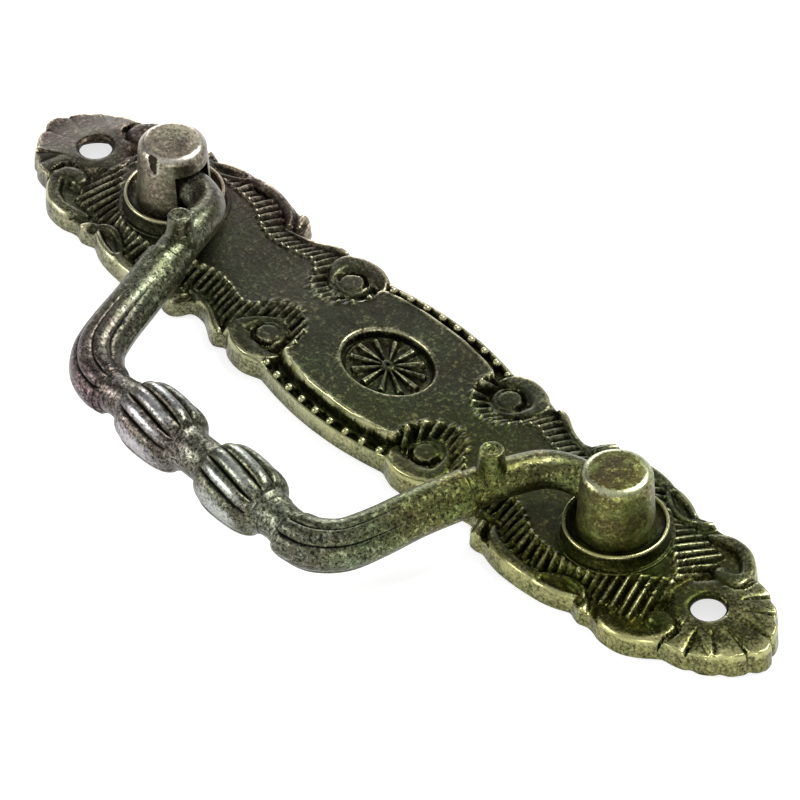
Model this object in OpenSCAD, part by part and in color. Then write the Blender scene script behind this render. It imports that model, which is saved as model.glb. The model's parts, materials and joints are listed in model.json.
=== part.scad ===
// Drop-bail drawer handle: a cast scrollwork backplate, two pivot posts and a swinging bail.
// Millimetres. Z = 0 is the plane of the drawer front, +Z points out of it, X runs along the plate
// and the bail hangs towards -Y. Everything is symmetrical about X = 0.

/* [Fixing] */
// distance between the two screw holes
hole_spacing = 105.7; // [102:0.1:112]
// screw hole diameter
screw_hole_d = 4.0; // [3.4:0.1:4.6]
// distance between the two posts
post_spacing = 76; // [74:0.5:78]

/* [Backplate] */
// from each screw hole to the tip of the plate
end_margin = 9.3; // [8.8:0.1:10.5]
// widest part of the plate
plate_width = 23.2; // [22:0.1:26]
// height of the plain field above the drawer front
field_height = 3.5; // [3.3:0.1:4.2]
// depth of the hollow in the back
back_pocket = 0.9; // [0.5:0.1:1.2]

/* [Posts] */
// height of the posts above the drawer front
post_height = 13.2; // [12:0.1:14]
// radius of a post at its foot
post_foot_r = 4.5; // [4.2:0.1:4.8]
// height of the axis that the bail turns on
pivot_height = 8.2; // [8:0.1:8.6]
// radius of the pins at the ends of the bail
pin_r = 1.5; // [1.3:0.1:1.6]
// running clearance round each pin
pin_clearance = 0.05; // [0.03:0.01:0.08]

/* [Bail] */
// distance from the pivot axis to the middle of the grip
bail_reach = 28; // [26:0.5:32]
// radius of the arms
arm_r = 2.75; // [2.5:0.05:3]
// radius of the two melon beads
bead_r = 4.4; // [3.8:0.05:4.6]
// height of the stop pegs' ends above the drawer front
peg_height = 13.8; // [13:0.1:14.4]

/* [Hidden] */

plate_length = hole_spacing + 2 * end_margin;
post_x = post_spacing / 2;
hole_x = hole_spacing / 2;

// The ornament is drawn on a plate 124.3 x 23.2 and then brought to the plate's own size.
drawn_hole_x = 52.85;

slab_height = field_height - 1.5;
channel_height = field_height - 1.6;
rim_height = field_height - 1.1;
comb_height = field_height - 0.35;
fan_height = field_height - 0.5;

collar_r = 6.0;
collar_foot_r = 6.5;
collar_height = field_height + 2.1;
dish_height = field_height + 1.4;
spigot_r = 2.2;
spigot_clearance = 0.03;
hole_wall = 0.8;
back_pad_r = 4.4;
hole_pocket_r = 4.2;
rivet_r = 3.1;
rivet_height = 0.6;
post_boss_r = rivet_r + 2.1;

post_top_r = post_foot_r - 0.4;
post_round = 1.5;
slot_half = 2.5;
slot_back = 1.9;
shank_r = 2.15;
slot_top = pivot_height + 2.6;
slot_foot = dish_height + 0.5;
pin_seat = 1.2;

bronze = [0.36, 0.33, 0.26];
worn_bronze = [0.47, 0.44, 0.36];

// A smooth curve through control rows of any width, n steps to each span.
function spline_at(p, i, t) =
  let (a = p[max(i - 1, 0)], b = p[i], c = p[i + 1], d = p[min(i + 2, len(p) - 1)])
  0.5 * (2 * b + (c - a) * t + (2 * a - 5 * b + 4 * c - d) * t * t
         + (3 * b - a - 3 * c + d) * t * t * t);
function spline(p, n) =
  concat([for (i = [0 : len(p) - 2], k = [0 : n - 1]) spline_at(p, i, k / n)], [p[len(p) - 1]]);

function along(p, i) =
  let (v = p[min(i + 1, len(p) - 1)] - p[max(i - 1, 0)], w = [v[0], v[1]]) w / norm(w);

// Skins a closed solid over rings of equal count.
module skin(rings) {
  m = len(rings[0]);
  n = len(rings);
  points = [for (ring = rings, p = ring) p];
  sides = [for (i = [0 : n - 2], j = [0 : m - 1])
    [i * m + j, (i + 1) * m + j, (i + 1) * m + (j + 1) % m, i * m + (j + 1) % m]];
  first = [[for (j = [0 : m - 1]) j]];
  last = [[for (j = [m - 1 : -1 : 0]) (n - 1) * m + j]];
  polyhedron(points = points, faces = concat(sides, first, last), convexity = 6);
}

// A scroll band lying on the plate. Rows are [x, y, half width, top height].
band_foot = 0.9;
band_section = [[1, 0], [0.86, 0.72], [0, 1], [-0.86, 0.72], [-1, 0]];
module band(rows, steps = 2) {
  p = spline(rows, steps);
  skin([for (i = [0 : len(p) - 1])
    let (d = along(p, i), across = [-d[1], d[0]] * p[i][2], rise = p[i][3] - band_foot)
    [for (s = band_section)
      [p[i][0] + across[0] * s[0], p[i][1] + across[1] * s[0], band_foot + rise * s[1]]]]);
}

// A low ridge from its foot at a to its club-shaped head at b, square to the plate.
module ridge(a, b, half = 0.3, top = comb_height) {
  d = (b - a) / norm(b - a);
  n = [-d[1], d[0]];
  low = slab_height - 0.2;
  rows = [
    concat(a, [half * 0.8, top - 0.5]), concat(b - 0.7 * d, [half * 0.9, top - 0.15]),
    concat(b + 0.1 * d, [half * 1.5, top])];
  skin([for (r = rows)
    [[r[0] + n[0] * r[2], r[1] + n[1] * r[2], low], [r[0], r[1], r[3]],
     [r[0] - n[0] * r[2], r[1] - n[1] * r[2], low]]]);
}

module four() {
  for (sx = [0, 1], sy = [0, 1]) mirror([sx, 0, 0]) mirror([0, sy, 0]) children();
}

// One quarter of the outline: border arc, volute, leaf, knob, C scroll, knob, S scroll and fan.
quarter = [
  [0, 11.55], [3.6, 11.4], [7.2, 10.95], [10.6, 10.3], [11.6, 10.7], [13, 11.1], [14.6, 11.05],
  [16.2, 10.6], [17.5, 9.9], [18.1, 10.45], [18.9, 10.6], [19.8, 10.3], [21, 9.6], [22.4, 8.9],
  [24, 8.7], [24.9, 9.2], [25.2, 10.2], [26, 11], [27.1, 11.05], [28, 10.8], [29.3, 11.2],
  [31.3, 11.55], [33.6, 11.6], [35.8, 11.45], [38, 11.15], [39.8, 10.6], [41.4, 9.8], [42.1, 10.2],
  [43.1, 10.4], [44, 10.1], [44.9, 10.1], [46.4, 10.5], [48.2, 10.5], [49.8, 10.1], [51.4, 9.1],
  [52.7, 7.9], [53.5, 7.4], [54.6, 7.2], [55.9, 6.8], [56.5, 6.2], [57.7, 5.9], [58.9, 5.0], [59.1, 4.3],
  [60.2, 3.7], [61.1, 2.4], [61.0, 1.7], [61.8, 1.2], [62.15, 0]];

module outline() {
  rev = [for (i = [len(quarter) - 1 : -1 : 0]) quarter[i]];
  polygon(concat(
    [for (p = quarter) p],
    [for (i = [1 : len(rev) - 1]) [rev[i][0], -rev[i][1]]],
    [for (i = [1 : len(quarter) - 1]) [-quarter[i][0], -quarter[i][1]]],
    [for (i = [1 : len(rev) - 2]) [-rev[i][0], rev[i][1]]]));
}

// Edge of the plain raised field, by quarter: it stands just clear of the heads of the combs.
field_edge = [
  [0, 9.0], [3.6, 8.9], [7, 8.5], [9.4, 8.0], [9.1, 6.4], [9.2, 5.1], [9.9, 3.5], [11.2, 2.2],
  [12.9, 1.5], [14.7, 1.5], [16.5, 2.1], [17.9, 3.3], [18.8, 4.6], [20.2, 5.2], [22.2, 4.5],
  [24.5, 4.1], [27.2, 4.5],
  [30.1, 5.7], [32.5, 6.6], [36, 7.0], [39.6, 6.8], [41.2, 6.0], [43.8, 3.8], [46.4, 1.1], [47.2, 0]];

module field() {
  n = len(field_edge);
  polygon(concat(
    [for (p = field_edge) p],
    [for (i = [n - 2 : -1 : 0]) [field_edge[i][0], -field_edge[i][1]]],
    [for (i = [1 : n - 1]) [-field_edge[i][0], -field_edge[i][1]]],
    [for (i = [n - 2 : -1 : 1]) [-field_edge[i][0], field_edge[i][1]]]));
}

eye = [13.8, 6.8];

module volute() {
  band([
    [10.4, 8.4, 0.6, rim_height], [11.6, 9.7, 0.75, rim_height + 0.2],
    [13.8, 10.0, 0.95, rim_height + 0.4], [16.2, 9.1, 0.9, rim_height + 0.5],
    [17.2, 7.2, 0.7, rim_height + 0.6],
    [16.7, 5.6, 0.2, comb_height - 0.5]], 2);
  band([
    [10.9, 7.2, 0.45, rim_height + 0.3], [11.4, 5.6, 0.45, comb_height - 0.2],
    [12.9, 4.5, 0.45, comb_height], [14.6, 4.5, 0.42, comb_height],
    [15.7, 5.4, 0.38, comb_height], [15.9, 6.9, 0.35, comb_height],
    [15.1, 7.8, 0.3, comb_height]], 1);
  translate([eye[0], eye[1], field_height - 1.2]) sphere(r = 1.3, $fn = 10);
}

module volute_comb() {
  for (i = [0 : 9]) {
    a = 190 + 16.6 * i;
    reach = 4.1 + 0.85 * sin(max(0, min(90, (a - 180) * 1.1)));
    u = [cos(a), sin(a)];
    ridge(eye + 3.0 * u, eye + reach * u);
  }
}

// Ridges of the long comb stand square to the plate's length. Both ends follow the scrolls.
comb_pitch = 1.06;
comb_inner = [
  [18, 6.2], [20, 6], [22, 5.2], [24.5, 4.8], [27.3, 5.2], [30, 6.4], [32.5, 7.3], [36, 7.7],
  [42, 7.6]];
comb_outer = [
  [18, 8.6], [19.4, 8.9], [20.9, 8.1], [22.9, 7.4], [25, 7.2], [26, 7.9], [27, 8.4], [29, 9.1],
  [31.5, 9.5], [34.4, 9.5], [35.6, 9.0], [36.6, 8.2], [38, 7.5], [42, 7.5]];

module long_comb() {
  for (x = [19.4 : comb_pitch : 38]) {
    y0 = lookup(x, comb_inner);
    y1 = lookup(x, comb_outer);
    if (y1 - y0 > 0.7) ridge([x, y1], [x, y0]);
  }
}

module end_comb() {
  feet = [[42.2, 8.0], [44.0, 7.6], [45.9, 8.1], [47.6, 8.0], [49.2, 7.4], [50.4, 6.2], [49.0, 3.6]];
  heads = [[41.9, 6.5], [43.2, 5.5], [44.4, 4.5], [45.4, 3.5], [46.3, 2.6], [47.1, 1.7], [47.8, 0.9]];
  for (i = [0 : len(feet) - 1]) ridge(feet[i], heads[i], 0.36);
}

module leaf() {
  band([
    [25, 7.8, 0.35, slab_height + 0.4], [22.9, 8.1, 0.45, slab_height + 0.5],
    [20.9, 8.85, 0.55, rim_height + 0.2],
    [19.4, 9.6, 0.6, rim_height + 0.3], [18.5, 9.8, 0.4, rim_height]], 1);
}

module c_scroll() {
  translate([26.5, 9.8, rim_height - 1.1]) sphere(r = 1.05, $fn = 8);
  band([
    [27.4, 9.1, 0.4, rim_height - 0.2], [29.2, 10.05, 0.8, rim_height],
    [32, 10.55, 0.85, rim_height + 0.15], [35, 10.55, 0.85, rim_height + 0.15],
    [38.4, 9.9, 0.85, rim_height + 0.15],
    [41.2, 8.7, 0.5, rim_height - 0.2]], 2);
  band([
    [35.4, 9.9, 0.3, rim_height], [36.8, 8.8, 0.38, rim_height + 0.25],
    [38.4, 8.1, 0.42, rim_height + 0.3], [40.2, 7.9, 0.42, rim_height + 0.2],
    [41.5, 8.6, 0.35, rim_height]], 1);
}

module s_scroll() {
  translate([43, 9.15, rim_height - 0.8]) sphere(r = 1.0, $fn = 8);
  band([
    [44.1, 8.3, 0.5, rim_height], [46, 9.2, 0.9, rim_height + 0.3], [48.6, 9.1, 0.95, rim_height + 0.4],
    [51, 7.8, 0.95, rim_height + 0.4], [52.2, 5.9, 0.9, rim_height + 0.45],
    [51.2, 4.6, 1.05, rim_height + 0.55], [49.9, 4.9, 0.5, rim_height]], 2);
}

module border() {
  rim = [for (x = [-10.8 : 3.6 : 10.8]) [x, 10.85 - x * x / 93, 0.55, rim_height]];
  for (s = [0, 1]) mirror([0, s, 0]) {
    band(rim, 1);
    for (i = [-4 : 4]) {
      x = 2.45 * i;
      translate([x, 9.95 - x * x / 93, channel_height + 0.05]) sphere(r = 0.5, $fn = 6);
    }
  }
}

// The fan at each end: a disc round the screw hole and lobes that swell towards the edge.
lobe_angles = [0, 26, 51, 76];
lobe_reach = [9.0, 7.95, 7.35, 6.9];
lobe_half = [1.85, 1.7, 1.5, 1.15];

module fan() {
  translate([drawn_hole_x, 0, band_foot]) cylinder(r = 5.2, h = fan_height - band_foot, $fn = 24);
  translate([48.9, -1.8, band_foot]) cube([3, 3.6, fan_height - band_foot]);
  for (i = [0 : 3], s = [-1, 1]) if (i > 0 || s > 0) {
    a = s * lobe_angles[i];
    c = [drawn_hole_x, 0];
    u = [cos(a), sin(a)];
    reach = lobe_reach[i];
    half = lobe_half[i];
    band([
      concat(c + 3 * u, [0.7, fan_height]), concat(c + 0.6 * reach * u, [half * 0.8, fan_height + 0.15]),
      concat(c + 0.87 * reach * u, [half, fan_height - 0.2]),
      concat(c + reach * u, [half * 0.6, fan_height - 1])], 1);
  }
}

oval = [6.45, 5.0];
oval_depth = 1.2;
rosette_ribs = 12;

oval_floor = field_height - oval_depth;
oval_step = 0.6;

module oval_dish() {
  translate([0, 0, field_height - 0.5])
    scale([oval[0], oval[1], 1]) cylinder(r = 1, h = 2, $fn = 48);
  translate([0, 0, oval_floor])
    scale([oval[0] - oval_step, oval[1] - oval_step, 1]) cylinder(r = 1, h = 2, $fn = 48);
}

// Ribs run out from a small hub to the foot of the dish's wall, each widening towards its tip.
rib_ends = [[0.8, 0.12, 0.35], [1, 0.34, 0.4]];

module rosette() {
  base = oval_floor - 0.3;
  for (i = [0 : rosette_ribs - 1]) {
    a = 360 * (i + 0.5) / rosette_ribs;
    tip = [(oval[0] - 1.1) * cos(a), (oval[1] - 1.1) * sin(a)];
    d = tip / norm(tip);
    n = [-d[1], d[0]];
    centres = [rib_ends[0][0] * d, tip];
    skin([for (k = [0, 1]) let (c = centres[k], w = rib_ends[k][1] * n)
      [concat(c + w, base), concat(c, oval_floor + rib_ends[k][2]), concat(c - w, base)]]);
  }
  translate([0, 0, base]) cylinder(r1 = 0.95, r2 = 0.7, h = 0.8, $fn = 16);
}

// The casting is hollow behind, with a rim all round. A boss stays behind each post, and a round pad
// behind the sunken oval, where the front leaves less metal. The wall is thinnest at the screw holes.
pocket_edge = [
  [0, 9.9], [10.2, 8.8], [14, 9.3], [18, 8.6], [24, 7.0], [27.5, 8.6], [33.6, 9.9], [39.6, 8.8],
  [43.2, 8.4], [48.4, 8.6], [51.6, 6.6], [52.4, 5.2], [47.6, 3.2], [47.6, 0]];

module pocket() {
  n = len(pocket_edge);
  polygon(concat(
    [for (p = pocket_edge) p],
    [for (i = [n - 2 : -1 : 0]) [pocket_edge[i][0], -pocket_edge[i][1]]],
    [for (i = [1 : n - 1]) [-pocket_edge[i][0], -pocket_edge[i][1]]],
    [for (i = [n - 2 : -1 : 1]) [-pocket_edge[i][0], pocket_edge[i][1]]]));
}

module carved_plate() {
  difference() {
    union() {
      linear_extrude(slab_height) outline();
      linear_extrude(field_height) field();
      border();
      four() {
        volute();
        volute_comb();
        leaf();
        long_comb();
        c_scroll();
        end_comb();
        s_scroll();
      }
      for (s = [0, 1]) mirror([s, 0, 0]) fan();
    }
    oval_dish();
    translate([0, 0, -1]) linear_extrude(1 + back_pocket) pocket();
  }
  rosette();
}

// The dished ring that a post stands in, as a profile turned about the post's axis.
module collar() {
  rotate_extrude($fn = 64) polygon([
    [0, 1.5], [collar_foot_r + 0.3, 1.5], [collar_foot_r + 0.3, field_height + 0.1],
    [collar_foot_r - 0.1, field_height + 0.5], [collar_r + 0.15, collar_height - 0.35],
    [collar_r, collar_height - 0.08], [collar_r - 0.2, collar_height],
    [collar_r - 0.45, collar_height - 0.05], [post_foot_r + 0.35, dish_height],
    [0, dish_height]]);
}

module backplate() {
  color(bronze) difference() {
    union() {
      resize([plate_length, plate_width, 0]) carved_plate();
      cylinder(r = back_pad_r, h = back_pocket + 0.3, $fn = 48);
      for (s = [-1, 1]) translate([s * post_x, 0, 0]) {
        collar();
        cylinder(r = post_boss_r, h = slab_height, $fn = 48);
      }
    }
    for (s = [-1, 1]) {
      translate([s * hole_x, 0, -1]) {
        cylinder(r = screw_hole_d / 2, h = field_height + 3, $fn = 48);
        cylinder(r = hole_pocket_r, h = 1 + fan_height - hole_wall, $fn = 48);
      }
      translate([s * post_x, 0, -1]) {
        cylinder(r = spigot_r + spigot_clearance, h = collar_height + 2, $fn = 48);
        cylinder(r = rivet_r + 0.1, h = 1 + rivet_height + 0.05, $fn = 48);
      }
    }
  }
}

// A post is turned, then slotted and bored from its inner side. It is drawn here with its slot on -X.
module post() {
  arc = [for (a = [0 : 15 : 90])
    [post_top_r - post_round + post_round * cos(a), post_height - post_round + post_round * sin(a)]];
  color(worn_bronze) difference() {
    union() {
      rotate_extrude($fn = 64) polygon(concat(
        [[0, dish_height], [post_foot_r, dish_height]], arc, [[0, post_height]]));
      translate([0, 0, rivet_height - 0.1])
        cylinder(r = spigot_r, h = dish_height - rivet_height + 0.2, $fn = 48);
      translate([0, 0, 0.1]) cylinder(r = rivet_r, h = rivet_height - 0.1, $fn = 48);
    }
    translate([-post_foot_r - 1, -slot_half, slot_foot])
      cube([post_foot_r + 1 - slot_back, 2 * slot_half, slot_top - slot_foot]);
    translate([-slot_back - 1, 0, pivot_height]) rotate([0, 90, 0])
      cylinder(r = pin_r + pin_clearance, h = 1 + slot_back + pin_seat, $fn = 48);
  }
}

module left_post() {
  translate([-post_x, 0, 0]) mirror([1, 0, 0]) post();
}

module right_post() {
  translate([post_x, 0, 0]) post();
}

// Centre line of half the bail, from the slot in the post to the middle of the grip.
// Rows are [x, y, z, radius, depth of the flutes].
shank_x = post_x - slot_back - 0.35;
lift = pivot_height - 8.2;
reach = bail_reach / 28;
half_bail = [
  [shank_x, 0, 0, shank_r, 0],
  [post_x - 4.7, -0.05, 0, shank_r, 0],
  [post_x - 7.2, -0.9, 0.2, shank_r, 0],
  [post_x - 8.9, -2.6, 0.55, shank_r + 0.05, 0],
  [post_x - 10, -5.2, 0.8, shank_r + 0.1, 0],
  [post_x - 11.2, -8.6, 0.75, shank_r + 0.15, 0],
  [post_x - 11.8, -10.4, 0.55, shank_r + 0.25, 0],
  [post_x - 12.2, -11.4, 0.4, arm_r - 0.05, 0],
  [post_x - 12.9, -13.8 * reach, 0.05, arm_r, 0],
  [post_x - 14.2, -18 * reach, -0.55, arm_r + 0.05, 0.12],
  [post_x - 15.3, -22 * reach, -1.2, arm_r + 0.2, 0.22],
  [post_x - 16.75, -25.4 * reach, -1.8, arm_r + 0.35, 0.25],
  [post_x - 19.1, -27.5 * reach, -2.15, arm_r + 0.45, 0.25],
  [post_x - 21.6, -28.2 * reach, -2.2, arm_r + 0.35, 0.3],
  [post_x - 22.6, -28.2 * reach, -2.1, arm_r, 0.1],
  [post_x - 23.5, -28.15 * reach, -2, arm_r - 0.3, 0],
  [post_x - 24.8, -28.1 * reach, -1.9, arm_r - 0.3, 0]];

bead_x = 6.9;
bead_half = 5.1;
waist_r = arm_r - 0.15;
grip_z = -1.85;

function bead_share(x) = min(1, abs(abs(x) - bead_x) / bead_half);
function bead_radius(x) =
  let (t = bead_share(x)) max(waist_r - 0.15 * t, bead_r * sqrt(1 - 0.86 * pow(t, 2.6)));
function bead_flute(x) = let (t = bead_share(x)) t < 0.9 ? 0.7 * sqrt(1 - t * t) : 0;
grip = [for (x = [12.3 : -0.9 : -0.01]) [x, -28.05 * reach, grip_z, bead_radius(x), bead_flute(x)]];

function flip(rows) = [for (i = [len(rows) - 1 : -1 : 0])
  [-rows[i][0], rows[i][1], rows[i][2], rows[i][3], rows[i][4]]];

// Five flutes on the upper side and five below leave a wide lobe along the inside and the outside.
// Angles of one quarter turn, from the outside to the top, and the share of the flute's depth at each.
quarter_turn = [0, 17, 33, 47, 61, 75.5, 90];
quarter_cut = [0, 0.1, 1, 0, 1, 0, 1];
ring_sides = 24;
half_sides = ring_sides / 2;
quarter_sides = ring_sides / 4;
function mirrored_step(k) = let (m = k % half_sides) m > quarter_sides ? half_sides - m : m;
function turn(k) =
  let (a = quarter_turn[mirrored_step(k)])
  180 * floor(k / half_sides) + (k % half_sides > quarter_sides ? 180 - a : a);

function ring(p, q, row) =
  let (t = (q - p) / norm(q - p), n = cross([0, 0, 1], t), side = n / norm(n), up = cross(t, side))
  [for (k = [0 : ring_sides - 1])
    let (a = turn(k), r = row[3] - row[4] * quarter_cut[mirrored_step(k)])
    [row[0], row[1], row[2]] + r * (cos(a) * side + sin(a) * up)];

module bail_body() {
  arms = spline(half_bail, 2);
  half = concat(arms, grip);
  mirrored = flip(half);
  rows = concat(half, [for (i = [1 : len(mirrored) - 1]) mirrored[i]]);
  place = function (r) [r[0], r[1], r[2]];
  skin([for (i = [0 : len(rows) - 1])
    ring(place(rows[max(i - 1, 0)]), place(rows[min(i + 1, len(rows) - 1)]), rows[i])]);
}

peg_x = post_x - 11.3;
peg_y = -8.35;
peg_top_r = 1.4;
peg_foot_r = 2.0;
peg_dimple_r = 0.4;

// A stop peg: a tapered stud that flares into the arm, with a dimple in its end.
module peg(top) {
  rotate_extrude($fn = 48) polygon([
    [0, 0.5], [peg_foot_r, 0.5], [peg_foot_r, 2.2], [peg_top_r + 0.3, top - 2.3],
    [peg_top_r + 0.1, top - 1.1], [peg_top_r, top - 0.35], [peg_top_r - 0.1, top - 0.12],
    [peg_top_r - 0.3, top], [peg_dimple_r, top], [0, top - 0.3]]);
}

module bail() {
  color(worn_bronze) translate([0, 0, pivot_height]) {
    bail_body();
    for (s = [-1, 1]) {
      translate([s * (shank_x - 1), 0, 0]) rotate([0, s * 90, 0])
        cylinder(r = pin_r, h = post_x + pin_seat - shank_x + 1 - 0.25, $fn = 48);
      translate([s * peg_x, peg_y, 0]) peg(peg_height - pivot_height);
    }
  }
}

backplate();
left_post();
right_post();
bail();
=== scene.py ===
import json
import math
import bpy
import numpy as np
from mathutils import Matrix, Vector


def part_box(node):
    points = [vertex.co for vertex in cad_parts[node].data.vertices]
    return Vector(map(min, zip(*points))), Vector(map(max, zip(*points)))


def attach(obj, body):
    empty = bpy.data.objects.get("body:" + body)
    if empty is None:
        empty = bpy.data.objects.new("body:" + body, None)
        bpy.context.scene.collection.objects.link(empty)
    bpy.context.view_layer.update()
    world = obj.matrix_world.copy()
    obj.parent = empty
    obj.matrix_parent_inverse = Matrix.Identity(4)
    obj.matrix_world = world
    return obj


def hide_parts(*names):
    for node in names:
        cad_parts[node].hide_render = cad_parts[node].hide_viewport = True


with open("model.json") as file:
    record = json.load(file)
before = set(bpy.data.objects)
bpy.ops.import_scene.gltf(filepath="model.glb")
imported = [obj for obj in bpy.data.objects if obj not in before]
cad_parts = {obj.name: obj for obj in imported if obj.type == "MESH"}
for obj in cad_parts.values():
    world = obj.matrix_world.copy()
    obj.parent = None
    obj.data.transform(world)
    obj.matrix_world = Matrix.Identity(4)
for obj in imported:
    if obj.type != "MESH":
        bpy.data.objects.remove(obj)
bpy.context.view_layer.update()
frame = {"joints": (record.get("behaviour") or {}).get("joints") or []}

MM = 0.001

# Sizes and places that the frame gives. The pieces are drawn in millimetres. The floor, the camera, the
# lamps and the shaders are in metres, as Blender is.
plate_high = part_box("backplate")[1]
post_low, post_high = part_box("right_post")
bail_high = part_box("bail")[1]
HALF_LENGTH = plate_high[0] / MM
HALF_WIDTH = plate_high[1] / MM
POST_X = (post_low[0] + post_high[0]) / 2 / MM
POST_TOP = post_high[2] / MM
POST_FOOT_R = (post_high[0] - post_low[0]) / 2 / MM
PIVOT_Z = frame["joints"][0]["pos_m"][2] / MM
PEG_TOP = bail_high[2] / MM

# Levels of the casting above the drawer front.
FIELD_Z = 3.5
PANEL_RISE = 0.25
GROUND_Z = 1.9
CHANNEL_Z = 1.35
WALL_Z = 0.3
SHOULDER_Z = 3.4
DISC_Z = 3.0
COLLAR_Z = 5.6
DISH_Z = 4.9

# The screw holes, and the collar round each post.
HOLE_X = 52.85
HOLE_R = 2.0
HOLE_ROUNDING = 0.45
COLLAR_R = 6.0
COLLAR_BORE_R = 2.0
COLLAR_FOOT_Z = 2.4

# The back: a hollow with a boss behind each post and a pad in the middle, a well behind each screw hole
# that leaves a wall, and a seat for the spread end of each post.
POCKET_Z = 0.9
BOSS_R = 5.2
BACK_PAD_R = 4.4
HOLE_WALL = 0.8
HOLE_POCKET_R = 4.2
SEAT_R = 3.2
SEAT_Z = 0.65

# A post: its barrel, and the spigot with a spread end that holds it in the plate.
POST_TAPER = 0.4
POST_ROUND_R = 1.1
SPIGOT_R = 2.2
SPREAD_R = 3.1
SPREAD_Z = (0.1, 0.6)

# The slot and the bore in a post, and the pin that turns there. PIN_START and SLOT_BACK are measured from
# the post's axis towards the middle of the plate, BORE_LEAD from the back of the slot.
SLOT_BACK = 1.9
SLOT_HALF = 2.5
SLOT_RISE = 2.6
SLOT_FOOT = DISH_Z + 0.5
PIN_R = 1.5
PIN_START = 3.25
PIN_LENGTH = 4.2
PIN_BEVEL = 0.15
PIN_CLEARANCE = 0.05
BORE_LEAD = 1.0
BORE_LENGTH = 4.1


def smooth_max(a, b, soft):
    """The larger of two heights, with the valley between them filled over soft millimetres."""
    overlap = np.maximum(soft - np.abs(a - b), 0.0)
    return np.maximum(a, b) + overlap * overlap / (4 * soft)


def smooth_min(a, b, soft):
    """The smaller of two heights, with the ridge between them rounded off over soft millimetres."""
    return -smooth_max(-a, -b, soft)


def smooth_step(low, high, x):
    """0 below low, 1 above high, and a soft change between them. With low above high it falls instead."""
    t = np.clip((x - low) / (high - low), 0.0, 1.0)
    return t * t * (3 - 2 * t)


def curve_through(rows, steps):
    """A smooth curve through control rows of any width, steps points to each span."""
    p = np.array(rows, float)
    ends = np.vstack([2 * p[0] - p[1], p, 2 * p[-1] - p[-2]])
    out = []
    for i in range(len(p) - 1):
        a, b, c, d = ends[i:i + 4]
        for t in np.arange(steps) / steps:
            out.append(0.5 * (2 * b + (c - a) * t + (2 * a - 5 * b + 4 * c - d) * t ** 2
                              + (3 * b - a - 3 * c + d) * t ** 3))
    out.append(p[-1])
    return np.array(out)


def nearest_on(path, x, y):
    """Signed distance to a path (positive on its left) and the path's other columns at the nearest point."""
    best = np.full(x.shape, np.inf)
    side = np.ones(x.shape)
    columns = np.zeros(x.shape + (path.shape[1] - 2,))
    for a, b in zip(path[:-1], path[1:]):
        ux, uy = b[0] - a[0], b[1] - a[1]
        length2 = ux * ux + uy * uy
        t = np.clip(((x - a[0]) * ux + (y - a[1]) * uy) / length2, 0.0, 1.0)
        dx, dy = x - a[0] - t * ux, y - a[1] - t * uy
        d = np.hypot(dx, dy)
        closer = d < best
        best = np.where(closer, d, best)
        side = np.where(closer, np.sign(ux * dy - uy * dx + 1e-12), side)
        value = a[2:] + t[..., None] * (b[2:] - a[2:])
        columns = np.where(closer[..., None], value, columns)
    return best * side, columns


# One quarter of the outline: border arc, volute, leaf, knob, C scroll, fold, knob, S scroll and fan.
OUTLINE = [
    (0, 11.55), (3.6, 11.4), (7.2, 10.95), (9.6, 10.5), (10.6, 10.35), (11.6, 10.7), (13, 11.1),
    (14.6, 11.05), (16.2, 10.6), (17.3, 9.95), (17.9, 10.2), (18.7, 10.6), (19.8, 10.3), (21, 9.6),
    (22.4, 8.9), (24, 8.75), (24.8, 9.2), (25.2, 10.2), (26, 10.95), (27.1, 11.05), (28, 10.85),
    (29.3, 11.2), (31.3, 11.55), (33.6, 11.6), (35.8, 11.45), (38, 11.15), (39.8, 10.6), (41.2, 9.95),
    (42.1, 10.2), (43.1, 10.4), (44, 10.1), (44.9, 10.1), (46.4, 10.5), (48.2, 10.5), (49.8, 10.1),
    (51.4, 9.1), (52.6, 8.0), (53.4, 7.4), (54.6, 7.2), (55.9, 6.8), (56.6, 6.2), (57.7, 5.9),
    (58.8, 5.0), (59.2, 4.3), (60.2, 3.7), (61.0, 2.4), (61.1, 1.7), (61.8, 1.1), (62.15, 0)]

# Edge of the raised field, by quarter. It runs under the heads of the combs.
FIELD_EDGE = [
    (0, 9.05), (3.6, 8.95), (7, 8.5), (9.3, 7.95), (9.75, 7.2), (9.5, 6.2), (9.75, 5.1), (10.5, 3.9),
    (11.6, 2.8), (12.9, 2.2), (13.9, 2.05), (14.9, 2.2), (15.9, 2.6), (17, 3.4), (17.8, 4.5), (18.6, 5.3),
    (19.6, 5.5), (21.2, 5.1), (22.6, 4.7), (24.4, 4.5), (25.9, 4.5), (27.2, 4.9), (28.4, 5.3),
    (29.5, 5.9), (30.5, 6.4), (31.6, 6.9), (33.2, 7.15), (36, 7.3), (38.4, 7.2), (40, 6.6), (41.2, 5.8),
    (42.2, 4.8), (43.4, 3.8), (44.7, 2.8), (45.9, 1.9), (46.9, 1.2), (47.5, 0.6), (47.6, 0)]

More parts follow.
